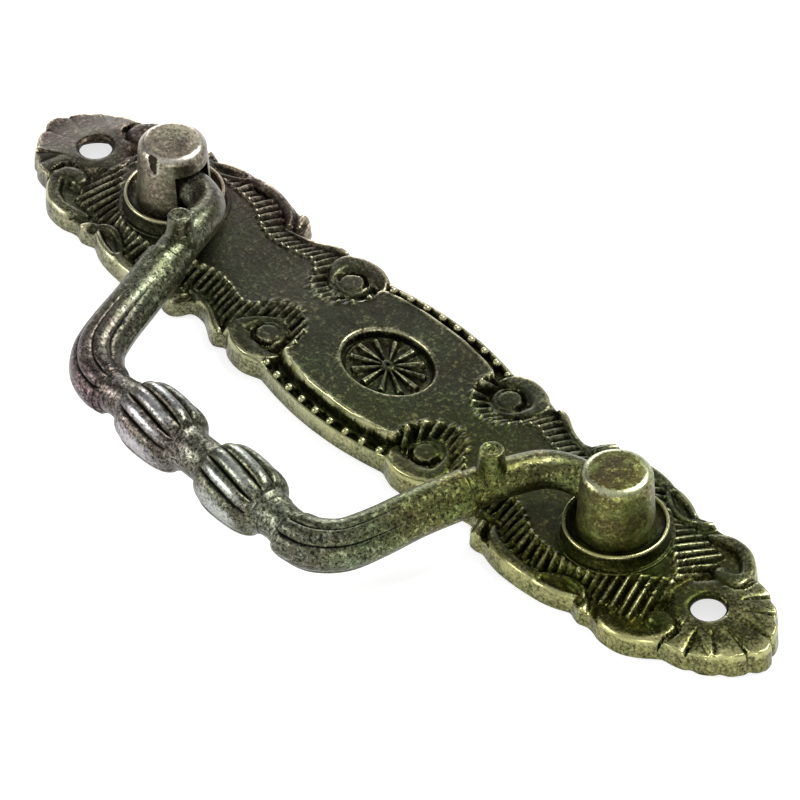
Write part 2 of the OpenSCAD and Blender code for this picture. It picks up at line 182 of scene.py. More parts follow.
# Each ridge of a comb runs from its head on the field to its foot under a scroll.
FRINGE = [
    ((9.7, 5.75), (10.6, 7.2)), ((10.4, 3.8), (11.1, 5.3)), ((11.5, 2.6), (12.0, 4.8)),
    ((12.9, 2.0), (13.1, 4.6)), ((13.9, 1.85), (14.1, 4.5)), ((14.9, 2.0), (15.1, 4.8)),
    ((15.85, 2.4), (16.0, 5.0)), ((16.9, 3.1), (17.1, 6.0)), ((17.75, 4.4), (17.8, 7.6)),
    ((18.6, 5.1), (18.6, 8.6))]
LONG_COMB = [
    ((19.6, 5.4), (19.6, 8.6)), ((20.65, 5.15), (20.65, 8.1)), ((21.7, 4.85), (21.7, 7.7)),
    ((22.8, 4.6), (22.8, 7.4)), ((23.8, 4.45), (23.8, 7.1)), ((24.9, 4.35), (24.9, 7.0)),
    ((26.0, 4.45), (26.1, 6.9)), ((27.2, 4.75), (27.2, 7.4)), ((28.3, 5.1), (28.3, 8.2)),
    ((29.4, 5.7), (29.4, 9.0)), ((30.4, 6.2), (30.5, 9.5)), ((31.45, 6.7), (31.6, 9.7)),
    ((32.6, 6.95), (32.9, 9.2)), ((33.7, 7.0), (34.2, 9.1)), ((34.8, 7.1), (35.5, 9.7)),
    ((36.0, 7.1), (36.6, 8.9)), ((37.1, 7.05), (37.6, 8.3)), ((38.2, 7.0), (38.6, 7.8)),
    ((39.3, 6.8), (39.6, 7.5)), ((40.3, 6.2), (40.6, 7.4))]
END_COMB = [
    ((41.2, 5.5), (41.7, 7.4)), ((42.0, 4.7), (42.7, 7.6)), ((42.9, 4.0), (43.8, 7.6)),
    ((43.8, 3.3), (45.1, 7.4)), ((44.8, 2.6), (46.4, 7.2)), ((45.8, 1.85), (47.5, 7.1)),
    ((46.7, 1.15), (48.3, 5.7)), ((47.6, 0.6), (48.7, 3.9))]

# Scroll crests. Rows are x, y, height of the crest, width of its left side and width of its right side.
BORDER_RIM = [(0, 11.2, 2.35, 0.7, 0.36), (3.6, 11.05, 2.35, 0.7, 0.36), (7.2, 10.6, 2.35, 0.7, 0.36),
              (9.6, 10.15, 2.4, 0.7, 0.36), (11.2, 9.85, 2.6, 0.7, 0.36)]
VOLUTE_BAND = [
    (10.3, 8.0, 2.6, 0.5, 0.6), (10.9, 9.0, 2.85, 0.8, 1.5), (12.2, 9.95, 3.0, 1.2, 2.4),
    (14.0, 10.25, 3.05, 1.3, 2.6), (15.8, 9.85, 3.1, 1.3, 2.6), (17.0, 8.8, 3.15, 1.2, 2.3),
    (17.3, 7.5, 3.15, 0.9, 1.9), (16.8, 6.3, 3.15, 0.6, 1.4), (16.0, 5.2, 3.1, 0.45, 0.7),
    (14.95, 4.35, 3.05, 0.4, 0.5), (13.6, 4.05, 3.0, 0.35, 0.45), (12.3, 4.4, 2.9, 0.3, 0.4)]
LEAF_BAND = [
    (26.2, 7.5, 2.3, 0.5, 0.6), (24.4, 7.8, 2.4, 0.65, 0.8), (22.5, 8.2, 2.55, 0.75, 0.9),
    (20.8, 8.95, 2.65, 0.8, 0.95), (19.4, 9.6, 2.7, 0.75, 0.9), (18.5, 9.85, 2.6, 0.6, 0.7)]
FIRST_KNOB = [(25.9, 8.8, 2.5, 0.85, 0.75), (26.4, 9.7, 2.6, 0.95, 0.85), (26.9, 10.8, 2.5, 0.95, 0.85)]
C_BAND = [
    (27.2, 8.4, 2.3, 0.6, 0.7), (28.2, 9.35, 2.5, 1.0, 0.9), (29.8, 10.05, 2.6, 1.1, 1.0),
    (31.6, 10.5, 2.65, 1.1, 1.1), (33.5, 10.65, 2.65, 1.1, 1.1), (35.2, 10.5, 2.6, 1.0, 1.0),
    (36.3, 10.2, 2.6, 0.9, 0.8)]
FOLD_OUTER = [
    (36.0, 10.5, 2.5, 0.9, 0.6), (37.6, 10.5, 2.5, 0.9, 0.65), (39.2, 10.15, 2.5, 0.9, 0.65),
    (40.6, 9.6, 2.5, 0.9, 0.7), (41.5, 9.0, 2.4, 0.6, 0.6)]
FOLD_INNER = [
    (36.0, 10.1, 2.6, 0.5, 0.6), (37.1, 9.1, 2.7, 0.65, 0.7), (38.3, 8.3, 2.8, 0.75, 0.8),
    (39.5, 7.85, 2.8, 0.8, 0.8), (40.7, 7.85, 2.75, 0.85, 0.8), (41.6, 8.3, 2.65, 0.8, 0.7),
    (42.2, 9.0, 2.45, 0.6, 0.6)]
SECOND_KNOB = [(42.4, 8.7, 2.45, 0.6, 0.7), (43.1, 9.5, 2.55, 0.8, 0.8), (43.5, 10.4, 2.4, 0.85, 0.85)]
S_BAND = [
    (44.6, 8.4, 2.35, 0.7, 0.7), (46.2, 9.1, 2.6, 1.2, 0.9), (48.0, 9.3, 2.7, 1.3, 0.95),
    (49.7, 8.9, 2.75, 1.3, 0.95), (51.0, 7.9, 2.8, 1.3, 0.95), (51.9, 6.7, 2.85, 1.2, 1.0),
    (52.1, 5.3, 2.9, 1.1, 1.2)]
TONGUE = [
    (52.2, 6.3, 2.9, 1.3, 1.3), (51.6, 5.2, 2.95, 1.45, 1.45), (50.6, 4.8, 2.95, 1.45, 1.45),
    (49.9, 5.0, 2.9, 1.35, 1.35)]

# Round and flat crests, each with the power by which its sides fall off.
BANDS = (([BORDER_RIM, FIRST_KNOB, FOLD_OUTER, FOLD_INNER, SECOND_KNOB, LEAF_BAND], 2.4),
         ([VOLUTE_BAND, C_BAND, S_BAND, TONGUE], 4.0))
COMBS = FRINGE + LONG_COMB + END_COMB

# How softly neighbouring forms meet: field and scrolls, combs, fan and eyes, and the plate's edge.
SCROLL_SOFT = 0.12
COMB_SOFT = 0.06
FAN_SOFT = 0.1
EDGE_SOFT = 0.25

# The raised field: where its crown falls off along the plate, where the fine line and the ledge of the border
# end, the level of the ledge, and how much further in than the field's outline its wall starts.
CROWN_X = (9, 22)
LINE_END_X = (9, 11)
LEDGE_END_X = 10
LEDGE_Z = 1.85
WALL_INSET = 0.12

# The ridges of the combs: level of their foot, half width, radius of their club head.
RIDGE_FOOT_Z = 2.5
RIDGE_HALF = 0.47
CLUB_R = 0.45

# The eye of a volute: place, radius where its groove starts, radius of its edge, level, and the direction
# in degrees in which the groove is widest.
VOLUTE_EYE = (13.6, 6.45)
EYE_R = 1.4
EYE_EDGE_R = 2.5
EYE_TOP = 3.1
EYE_GROOVE_AT = 70.0

# The end fan: direction and half width of its petals in degrees, radius where its grooves start, radius
# of its back half, and radius within which it covers the scrolls.
PETAL_ANGLES = (0.0, 25.7, 51.0, 77.5)
PETAL_HALF = 13.0
FAN_R = 3.3
FAN_BACK_R = 4.3
FAN_ROUND_R = 4.7

# The border's channel, out from CHANNEL_Y and as far as BORDER_END_X, the end of the neck between the fan
# and the field with its half width, and half the width of the scroll that the fan keeps clear of.
CHANNEL_Y = 8.0
BORDER_END_X = 10.6
NECK_X = 49.3
NECK_HALF = 1.7
SCROLL_HALF = 1.3


def scroll_height(rows, x, y, power):
    """A rounded crest whose two sides fall off over their own widths."""
    path = curve_through(rows, 4)
    d, columns = nearest_on(path, x, y)
    crest, left, right = columns[..., 0], columns[..., 1], columns[..., 2]
    width = np.where(d > 0, left, right)
    return crest - (np.abs(d) / width) ** power


def panel_height(x):
    """The raised field is crowned towards the middle of the plate."""
    return FIELD_Z + PANEL_RISE * (1 - smooth_step(*CROWN_X, x))


def along_ridge(head, foot, x, y):
    """Distance along a ridge from its head, distance to its side, and its length."""
    length = math.hypot(foot[0] - head[0], foot[1] - head[1])
    ux, uy = (foot[0] - head[0]) / length, (foot[1] - head[1]) / length
    s = (x - head[0]) * ux + (y - head[1]) * uy
    side = (x - head[0]) * uy - (y - head[1]) * ux
    return s, side, length


def ridge_height(head, foot, x, y):
    """A club-headed ridge: a round back that sinks from its head to its foot."""
    s, side, length = along_ridge(head, foot, x, y)
    t = np.clip(s / length, 0.0, 1.0)
    head_z = panel_height(head[0]) + 0.1
    back = head_z - (head_z - RIDGE_FOOT_Z) * t ** 1.3
    beyond = np.maximum(np.maximum(-s, s - length), 0.0)
    body = back - (np.hypot(side, beyond) / RIDGE_HALF) ** 3 * 0.8
    club = head_z + 0.25 - ((x - head[0]) ** 2 + (y - head[1]) ** 2) / CLUB_R ** 2 * 0.55
    return np.maximum(body, club)


def ridge_crests(x, y):
    """1 along the worn backs of the comb ridges, 0 away from them."""
    crests = np.zeros(x.shape)
    for head, foot in COMBS:
        s, side, length = along_ridge(head, foot, x, y)
        along = smooth_step(-0.3, 0.0, s) * (1 - smooth_step(0.6 * length, 0.95 * length, s))
        crests = np.maximum(crests, np.exp(-(side / 0.2) ** 2) * along)
    return crests


def volute_eye(h, x, y):
    """The flat eye of a volute, with a crescent groove on the side towards the edge of the plate."""
    r = np.hypot(x - VOLUTE_EYE[0], y - VOLUTE_EYE[1])
    turn = np.arctan2(y - VOLUTE_EYE[1], x - VOLUTE_EYE[0]) - math.radians(EYE_GROOVE_AT)
    opened = smooth_step(-0.45, 0.3, np.cos(turn))
    h = smooth_max(h, EYE_TOP - 0.05 - (r / EYE_EDGE_R) ** 8.0, FAN_SOFT)
    half = 0.1 + 0.25 * opened
    floor = EYE_TOP + 0.1 - 1.2 * opened + 1.3 * (np.abs(r - EYE_R - half) / half) ** 3
    h = np.where(r > EYE_R - 0.3, smooth_min(h, floor, FAN_SOFT), h)
    fine_line = 0.14 * np.exp(-((r - EYE_R - 0.05) / 0.13) ** 2) * (1 - opened)
    return h - fine_line


def petal_share(x, y):
    """0 along the middle of each petal of the end fan, 1 in the groove between two petals."""
    angle = np.degrees(np.arctan2(y, x - HOLE_X))
    across = np.full(x.shape, 1.5)
    for centre in PETAL_ANGLES:
        across = np.minimum(across, np.abs(angle - centre) / PETAL_HALF)
    return across


def fan_height(x, y):
    """The fan: a smooth disc round the screw hole and slightly domed petals round it."""
    r = np.hypot(x - HOLE_X, y)
    angle = np.degrees(np.arctan2(y, x - HOLE_X))
    across = np.minimum(petal_share(x, y), 1.2)
    petal = DISC_Z - 0.6 * smooth_step(3.8, 9.0, r) - 0.14 * smooth_step(3.2, 6.0, r) * across ** 2
    return np.where((angle > 90) & (r > FAN_BACK_R), petal - 3 * (r - FAN_BACK_R), petal)


def petal_groove(x, y):
    """Depth of the grooves between the petals, which cut through the edge as well."""
    r = np.hypot(x - HOLE_X, y)
    angle = np.degrees(np.arctan2(y, x - HOLE_X))
    depth = (0.3 * smooth_step(FAN_R, 4.6, r) + 0.65 * smooth_step(5.6, 8.4, r)) * (angle < 91)
    return depth * np.clip(petal_share(x, y), 0, 1) ** 12


def field_over(h, x, y):
    """Lays the raised field on the ground, with a fine line along its rim and a ledge at its wall's foot."""
    outside, _ = nearest_on(curve_through([(a, b, 0) for a, b in FIELD_EDGE], 3), x, y)
    line = 0.07 * np.exp(-((outside + 0.2) / 0.25) ** 2) * (1 - smooth_step(*LINE_END_X, x))
    wall = np.maximum(outside + WALL_INSET, 0.0)
    h = smooth_max(h, panel_height(x) + line - 16.0 * wall ** 2, SCROLL_SOFT)
    ledge = LEDGE_Z - (np.maximum(outside - 0.62, 0) / 0.16) ** 2 * 0.4
    return np.where((x < LEDGE_END_X) & (outside > 0), np.maximum(h, ledge), h)


def fan_over(h, x, y):
    """Lays the neck and the end fan over the scrolls, clear of the last scroll and its tongue."""
    neck = np.hypot(np.minimum(x - NECK_X, 0.0), y) - NECK_HALF - 0.35 * np.maximum(x - NECK_X, 0)
    h = smooth_max(h, DISC_Z - 4 * np.maximum(neck, 0) ** 2, FAN_SOFT)
    from_scroll, _ = nearest_on(curve_through(S_BAND[3:] + TONGUE[1:], 4), x, y)
    clear = np.abs(from_scroll) - SCROLL_HALF
    round_hole = np.hypot(x - HOLE_X, y) < FAN_ROUND_R
    fan = np.minimum(fan_height(x, y), np.where(round_hole, 2.5, 2.0) + 7 * np.maximum(clear, 0))
    in_fan = ((x > HOLE_X - 0.4) & (clear > 0)) | round_hole
    return np.where(in_fan, smooth_max(h, fan, FAN_SOFT), h)


def relief(x, y):
    """Height of the cast face at points of one quarter of the plate."""
    h = np.where((x < BORDER_END_X) & (y > CHANNEL_Y), CHANNEL_Z, GROUND_Z)
    h = field_over(h, x, y)
    for bands, power in BANDS:
        for rows in bands:
            h = smooth_max(h, scroll_height(rows, x, y, power), SCROLL_SOFT)
    for head, foot in COMBS:
        h = smooth_max(h, ridge_height(head, foot, x, y), COMB_SOFT)
    return fan_over(volute_eye(h, x, y), x, y)


# How far the edge's shoulder reaches inwards, along the plate.
SHOULDER_X = (0, 9, 12, 17, 20, 25, 30, 36, 41, 46, 51, 54, 62)
SHOULDER_R = (0.6, 0.6, 0.75, 0.75, 0.8, 0.8, 0.7, 0.7, 0.8, 0.75, 0.75, 0.6, 0.6)


def edge_limit(x, y):
    """The height that the casting's rounded shoulder allows, and the distance from the outline."""
    inside, _ = nearest_on(outline_curve(), x, y)
    d = np.maximum(-inside, 0.0)
    reach = np.interp(x, SHOULDER_X, SHOULDER_R)
    t = np.clip(d / reach, 0.0, 1.0)
    return WALL_Z + (SHOULDER_Z - WALL_Z) * np.sqrt(1 - (1 - t) ** 2) + np.maximum(d - reach, 0.0) * 3.0, d


def outline_curve():
    """The smooth outline of one quarter, kept inside the plate's width."""
    return curve_through([(a, min(b, HALF_WIDTH - 0.02), 0) for a, b in OUTLINE], 5)


def plate_face(x, y):
    """The relief with its shoulder, the grooves between the petals and the rounded rim of the screw hole."""
    limit, _ = edge_limit(x, y)
    h = smooth_min(relief(x, y), limit, EDGE_SOFT)
    h = np.maximum(h - petal_groove(x, y), WALL_Z)
    rim = np.maximum(HOLE_ROUNDING - (np.hypot(x - HOLE_X, y) - HOLE_R), 0.0)
    return h - 1.5 * rim ** 2


# The face's grid: rows as shares of the way from the centre line out to the outline, closer in the outer
# part, and the distance between its columns along the outline. Columns beyond TURN_X start on the screw
# hole. Below the face come the wall's levels, as shares of its height, a foot, and the flat back, a small
# share further in.
FACE_ROWS = np.concatenate([np.linspace(0, 0.36, 8), np.linspace(0.36, 1.0, 42)[1:]])
COLUMN_PITCH = 0.204
TURN_X = 49.0
WALL_LEVELS = (0.55, 0.25)
FOOT_Z = 0.12
FOOT_INSET = 0.012


def plate_quarter():
    """Columns from the centre line, or the screw hole's edge, out to the outline."""
    line = outline_curve()[:, :2]
    steps = np.hypot(*np.diff(line, axis=0).T)
    run = np.concatenate([[0], np.cumsum(steps)])
    count = int(run[-1] / COLUMN_PITCH)
    s = np.linspace(0, run[-1], count + 1)
    outer = np.stack([np.interp(s, run, line[:, 0]), np.interp(s, run, line[:, 1])], 1)
    outer[0], outer[-1] = (0.0, line[0, 1]), (line[-1, 0], 0.0)
    turn = np.searchsorted(outer[:, 0], TURN_X)
    left_of_hole = HOLE_X - HOLE_R
    inner = np.zeros_like(outer)
    along = np.maximum.accumulate(outer[:turn + 1, 0])
    inner[:turn + 1, 0] = along / along[-1] * left_of_hole
    sweep = np.linspace(math.pi, 0, count + 1 - turn)
    inner[turn:, 0] = HOLE_X + HOLE_R * np.cos(sweep)
    inner[turn:, 1] = np.maximum(HOLE_R * np.sin(sweep), 0.0)
    inner[-1, 1] = 0.0
    return inner, outer, turn


def quarter_mesh():
    """Points and faces of one quarter of the casting, closed but for the two planes of symmetry."""
    inner, outer, turn = plate_quarter()
    columns = len(inner)
    t = FACE_ROWS[:, None, None]
    flat = inner[None] * (1 - t) + outer[None] * t
    top = plate_face(flat[..., 0], flat[..., 1])
    rows = [np.dstack([flat, top])]
    edge = top[-1]
    inset = outer - (outer - inner) * FOOT_INSET
    for level in WALL_LEVELS:
        rows.append(np.dstack([outer[None], (edge * level)[None]]))
    for ring, z in ((outer, FOOT_Z), (inset, 0.0), ((inner + outer) / 2, 0.0), (inner, 0.0)):
        rows.append(np.dstack([ring[None], np.full((1, columns), z)]))
    points = np.concatenate(rows, 0)
    n = points.shape[0]
    index = np.arange(n * columns).reshape(n, columns)
    a, b = index[:-1, :-1], index[:-1, 1:]
    c, d = index[1:, 1:], index[1:, :-1]
    quads = [np.stack([a, d, c, b], -1).reshape(-1, 4)]
    bore_top, bore_foot = index[0, turn:], index[-1, turn:]
    quads.append(np.stack([bore_top[:-1], bore_top[1:], bore_foot[1:], bore_foot[:-1]], -1))
    return points.reshape(-1, 3), np.concatenate(quads)


def mirrored_all_round(points, quads):
    """The quarter and its three mirror images, welded where they meet."""
    all_points, all_quads = [], []
    for sx in (1, -1):
        for sy in (1, -1):
            offset = len(all_points) * len(points)
            all_points.append(points * (sx, sy, 1))
            turned = quads if sx * sy > 0 else quads[:, ::-1]
            all_quads.append(turned + offset)
    p = np.concatenate(all_points)
    q = np.concatenate(all_quads)
    _, first, back = np.unique(np.round(p, 4) + 0.0, axis=0, return_index=True, return_inverse=True)
    return p[first], back.reshape(-1)[q]


def new_piece(name, points, faces):
    """A mesh object from points in millimetres. Corners that fall together in a face are taken as one."""
    mesh = bpy.data.meshes.new(name)
    kept = []
    for face in faces:
        ring = list(dict.fromkeys(int(i) for i in face))
        if len(ring) > 2:
            kept.append(ring)
    mesh.from_pydata([tuple(v) for v in (np.asarray(points) * MM).tolist()], [], kept)
    mesh.validate()
    mesh.update()
    piece = bpy.data.objects.new(name, mesh)
    bpy.context.scene.collection.objects.link(piece)
    return piece


def shade(piece, smooth_angle):
    """Smooth shading, but for edges sharper than an angle in degrees."""
    mesh = piece.data
    mesh.polygons.foreach_set("use_smooth", [True] * len(mesh.polygons))
    mesh.set_sharp_from_angle(angle=math.radians(smooth_angle))


def lathe(profile, centre=(0, 0), sides=96):
    """Points and faces of a closed profile turned about a vertical axis. Rows are radius and height, and
    those of radius 0 become one point on the axis."""
    rows = np.array(profile, float)
    on_axis = rows[:, 0] < 1e-6
    rows[on_axis, 0] = 0
    a = np.arange(sides) * 2 * math.pi / sides
    x = centre[0] + rows[:, None, 0] * np.cos(a)
    y = centre[1] + rows[:, None, 0] * np.sin(a)
    z = np.broadcast_to(rows[:, None, 1], x.shape)
    index = np.arange(len(rows) * sides).reshape(len(rows), sides)
    index[on_axis] = index[on_axis, :1]
    nxt = np.roll(index, -1, axis=1)
    low, high = index, np.roll(index, -1, axis=0)
    quads = np.stack([low, nxt, np.roll(nxt, -1, axis=0), high], -1).reshape(-1, 4)
    used, quads = np.unique(quads, return_inverse=True)
    return np.dstack([x, y, z]).reshape(-1, 3)[used], quads.reshape(-1, 4)


def rod(radius, low, high):
    """Profile of a plain round bar."""
    return [(0, low), (radius, low), (radius, high), (0, high)]


def lay_in_post(piece, side, from_axis):
    """Turns an upright piece to point outwards at the pivot's height, from_axis inwards of a post's axis."""
    piece.data.transform(Matrix.Translation((side * (POST_X - from_axis) * MM, 0, PIVOT_Z * MM))
                         @ Matrix.Rotation(side * math.pi / 2, 4, "Y"))


def skinned(rings):
    """Points and faces of a tube through a stack of rings, closed at both ends."""
    index = np.arange(rings.shape[0] * rings.shape[1]).reshape(rings.shape[:2])
    a0, a1 = index[:-1], np.roll(index[:-1], -1, axis=1)
    b0, b1 = index[1:], np.roll(index[1:], -1, axis=1)
    quads = list(np.stack([a0, a1, b1, b0], -1).reshape(-1, 4))
    return rings.reshape(-1, 3), quads + [index[0][::-1], index[-1]]


def combine(piece, tool, operation):
    """Joins a closed tool to the piece, or cuts it away, and deletes the tool."""
    step = piece.modifiers.new(operation, "BOOLEAN")
    step.operation = operation
    step.solver = "MANIFOLD"
    step.object = tool
    evaluated = piece.evaluated_get(bpy.context.evaluated_depsgraph_get())
    mesh = bpy.data.meshes.new_from_object(evaluated)
    piece.modifiers.clear()
    piece.data = mesh
    bpy.data.objects.remove(tool)


def arc(cx, cz, r, start, end, count):
    """Points along an arc between two angles in degrees."""
    return [(cx + r * math.cos(math.radians(a)), cz + r * math.sin(math.radians(a)))
            for a in np.linspace(start, end, count)]


def collar_profile():
    """Section of the dished ring round a post: foot moulding, flank, rolled lip and dish."""
    ledge_z = FIELD_Z + 0.02
    foot = [(COLLAR_BORE_R, COLLAR_FOOT_Z), (COLLAR_R + 0.72, COLLAR_FOOT_Z), (COLLAR_R + 0.72, ledge_z)]
    moulding = arc(COLLAR_R + 0.54, ledge_z, 0.18, 0, 120, 6)
    flank = [(COLLAR_R + 0.24, FIELD_Z + 0.22), (COLLAR_R + 0.1, FIELD_Z + 0.6),
             (COLLAR_R + 0.02, COLLAR_Z - 0.5)]
    lip = arc(COLLAR_R - 0.2, COLLAR_Z - 0.22, 0.22, -10, 180, 10)
    dish = [(COLLAR_R - 0.55, COLLAR_Z - 0.5), (POST_FOOT_R + 0.5, DISH_Z + 0.05),
            (POST_FOOT_R + 0.2, DISH_Z), (COLLAR_BORE_R, DISH_Z)]
    return foot + moulding + flank + lip + dish


# The oval dish in the middle: its half axes and depth, the rosette's mean radius and ribs, the level of
# its foot, and the level above which its surface is shaped.
OVAL = (6.45, 5.0)
OVAL_DEPTH = 1.2
OVAL_FLOOR_Z = FIELD_Z + PANEL_RISE - OVAL_DEPTH
ROSETTE_R = 5.6
RIBS = 12
ROSETTE_FOOT_Z = 1.5
ROSETTE_FACE_Z = 2.0


def oval_rings(rows, sides, shaped_by=None):
    """A closed stack of rings that follow the oval. Rows are share of the oval, height."""
    rows = np.array(rows, float)
    a = np.arange(sides) * 2 * math.pi / sides
    x = rows[:, None, 0] * OVAL[0] * np.cos(a)
    y = rows[:, None, 0] * OVAL[1] * np.sin(a)
    z = np.broadcast_to(rows[:, None, 1], x.shape)
    return skinned(np.dstack([x, y, shaped_by(x, y, z) if shaped_by else z]))


def rosette_height(x, y, z):
    """Slender ribs with round tips on the floor of the dish, a hub with an eye, and a fine raised ring."""
    share = np.hypot(x / OVAL[0], y / OVAL[1])
    turn = np.arctan2(y / OVAL[1], x / OVAL[0]) / (2 * math.pi) * RIBS
    across = np.abs(turn - np.round(turn)) * 2 * math.pi / RIBS * share * ROSETTE_R
    half = 0.2 + 0.28 * smooth_step(0.15, 0.75, share)
    rib = 0.62 - np.abs(across / half) ** 3 * 0.5
    inside = smooth_step(0.12, 0.17, share) * (1 - smooth_step(0.76, 0.8, share))
    tip = 0.68 - (((share - 0.73) * ROSETTE_R) ** 2 + across ** 2) / 0.2
    hub = 0.72 - np.maximum(share - 0.12, 0) ** 2 * 500 - 0.5 * (share < 0.045)
    ring = 0.3 - ((share - 0.88) / 0.02) ** 2 * 0.3
    h = np.maximum.reduce([rib * inside, tip, hub, ring, np.zeros_like(z)])
    return np.where(z > ROSETTE_FACE_Z, OVAL_FLOOR_Z + h, z)


def carve_oval(plate):
    """Sinks the oval dish with its rounded lip and lays the rosette on its floor."""
    top = FIELD_Z + PANEL_RISE
    cutter = [(0.93, OVAL_FLOOR_Z - 0.2), (0.94, top - 0.5), (0.955, top - 0.22), (0.98, top - 0.06),
              (1.02, top + 0.03), (1.05, top + 0.2)]
    combine(plate, new_piece("oval_cutter", *oval_rings(cutter, 120)), "DIFFERENCE")
    shares = np.concatenate([np.linspace(0.95, 0.66, 24), np.linspace(0.63, 0.2, 10),
                             np.linspace(0.18, 0.005, 9)])
    rows = [(0.005, ROSETTE_FOOT_Z), (0.95, ROSETTE_FOOT_Z)] + [(share, OVAL_FLOOR_Z) for share in shares]
    combine(plate, new_piece("rosette", *oval_rings(rows, 240, rosette_height)), "UNION")


# The hollow in the plate's back, by quarter.
POCKET_EDGE = [
    (0, 9.9), (10.2, 8.8), (14, 9.3), (18, 8.6), (24, 7.0), (27.5, 8.6), (33.6, 9.9), (39.6, 8.8),
    (43.2, 8.4), (48.4, 8.6), (51.6, 6.6), (52.4, 5.2), (47.6, 3.2), (47.6, 0)]


def prism(loop, low, high):
    """Points and faces of an upright prism over a loop of points."""
    n = len(loop)
    points = [(x, y, low) for x, y in loop] + [(x, y, high) for x, y in loop]
    sides = [(i, (i + 1) % n, n + (i + 1) % n, n + i) for i in range(n)]
    return points, sides + [tuple(range(n - 1, -1, -1)), tuple(range(n, 2 * n))]


def carve_back(plate):
    """Hollows the back round its bosses and pad, then opens the screw holes' wells and the posts' seats."""
    edge = POCKET_EDGE
    loop = ([(x, -y) for x, y in edge] + [(x, y) for x, y in edge[-2::-1]]
            + [(-x, y) for x, y in edge[1:]] + [(-x, -y) for x, y in edge[-2:0:-1]])
    cutter = new_piece("pocket", *prism(loop, -1.0, POCKET_Z))
    for x, radius in ((-POST_X, BOSS_R), (POST_X, BOSS_R), (0, BACK_PAD_R)):
        combine(cutter, new_piece("boss", *lathe(rod(radius, -2, 2), (x, 0), 48)), "DIFFERENCE")
    combine(plate, cutter, "DIFFERENCE")
    for x, radius, top in ((HOLE_X, HOLE_POCKET_R, DISC_Z - HOLE_WALL), (POST_X, SEAT_R, SEAT_Z)):
        for side in (-1, 1):
            well = new_piece("well", *lathe(rod(radius, -2, top), (side * x, 0), 48))
            combine(plate, well, "DIFFERENCE")


# The small balls of the border stand on a shallow arc. The casting's two rows don't quite mirror each
# other. Rows are side of the plate, shift along it.
BEAD_ROWS = ((-1, -0.5), (1, 0.1))
BEAD_ROW_Y = 10.65
BEAD_ROW_BOW = 92
BEAD_PITCH = 2.48
BORDER_BEAD_R = 0.52
BORDER_BEAD_Z = 2.3


def border_beads():
    """A row of nine small balls in the channel on each side of the raised centre."""
    stem = [(0, CHANNEL_Z - 0.3), (0.42, CHANNEL_Z - 0.3), (0.46, 1.95)]
    ball = stem + arc(0, BORDER_BEAD_Z, BORDER_BEAD_R, -15, 90, 8)
    points, faces = [], []
    for side, shift in BEAD_ROWS:
        for i in range(-4, 5):
            x = BEAD_PITCH * i + shift
            some, quads = lathe(ball, (x, side * (BEAD_ROW_Y - x ** 2 / BEAD_ROW_BOW)), 18)
            faces.append(quads + sum(len(block) for block in points))
            points.append(some)
    return np.concatenate(points), np.concatenate(faces)


def thin_left_end(points):
    """The fan at the left end of the casting is a little shorter, lower and shallower than the right one."""
    x, y, z = points.T
    groove = petal_groove(np.abs(x), np.abs(y)) * smooth_step(50, 54, -x) * np.clip(z / 1.5, 0, 1)
    filled = 0.9 - 0.4 * smooth_step(7.0, 8.6, np.hypot(x + HOLE_X, y))
    z = (z + filled * groove) * (1 - 0.3 * smooth_step(52.5, 61.0, -x))
    return np.stack([x + 0.55 * smooth_step(54, 62, -x), y, z], 1)


def cast_backplate():
    """The plate: the mirrored relief, with its beads, collars and oval, and the hollow back."""
    points, faces = mirrored_all_round(*quarter_mesh())
    plate = new_piece("cast_backplate", thin_left_end(points), faces)
    combine(plate, new_piece("border_beads", *border_beads()), "UNION")
    for side in (-1, 1):
        combine(plate, new_piece("collar", *lathe(collar_profile(), (side * POST_X, 0))), "UNION")
    carve_oval(plate)
    carve_back(plate)
    shade(plate, 50)
    return plate


# The right half of the bail's centre line, from the slot in the post to the neck beside a bead.
# Rows are x, y, height over the pivot, radius of the tube, depth of its flutes.
HALF_BAIL = [
    (35.75, 0, 0, 2.15, 0), (33.3, -0.05, 0, 2.15, 0), (30.8, -0.9, 0.2, 2.15, 0), (29.1, -2.6, 0.55, 2.2, 0),
    (28.0, -5.2, 0.8, 2.25, 0), (26.8, -8.6, 0.75, 2.3, 0), (26.1, -10.7, 0.5, 2.36, 0),
    (26.0, -11.05, 0.46, 2.42, 0), (25.93, -11.25, 0.43, 2.68, 0), (25.75, -11.8, 0.35, 2.76, 0),
    (25.1, -13.8, 0.05, 2.76, 0), (24.4, -16, -0.25, 2.76, 0.03), (23.8, -18, -0.55, 2.8, 0.12),
    (22.7, -22, -1.2, 2.93, 0.3), (21.25, -25.4, -1.8, 3.08, 0.42), (18.9, -27.5, -2.15, 3.17, 0.45),
    (16.7, -28.2, -2.2, 3.12, 0.55), (15.9, -28.2, -2.15, 3.0, 0.5), (15.4, -28.18, -2.1, 2.75, 0.3),
    (15.1, -28.16, -2.05, 2.5, 0.05), (14.65, -28.15, -2.0, 2.46, 0), (14.3, -28.12, -1.95, 2.4, 0),
    (12.7, -28.08, -1.9, 2.48, 0)]

# The grip between its two necks, its beads, and the flutes of beads and elbows in degrees round the tube.
GRIP_HALF = 12.6
GRIP_Y = -28.05
GRIP_Z = -1.85
NECK_R = 2.55
BEAD_X = 6.9
BEAD_HALF = 4.45
BEAD_R = 4.4
BEAD_FOOT_R = 3.0
BEAD_TWIST = 2.2
BEAD_GROOVES = (-57.5, -30, 0, 30, 57.5, 122.5, 150, 180, 210, 237.5)
ELBOW_GROOVES = (-35, 7.5, 50, 130, 172.5, 215)
SEAM = 0.06
RING_SIDES = 144
GRIP_RINGS = 211


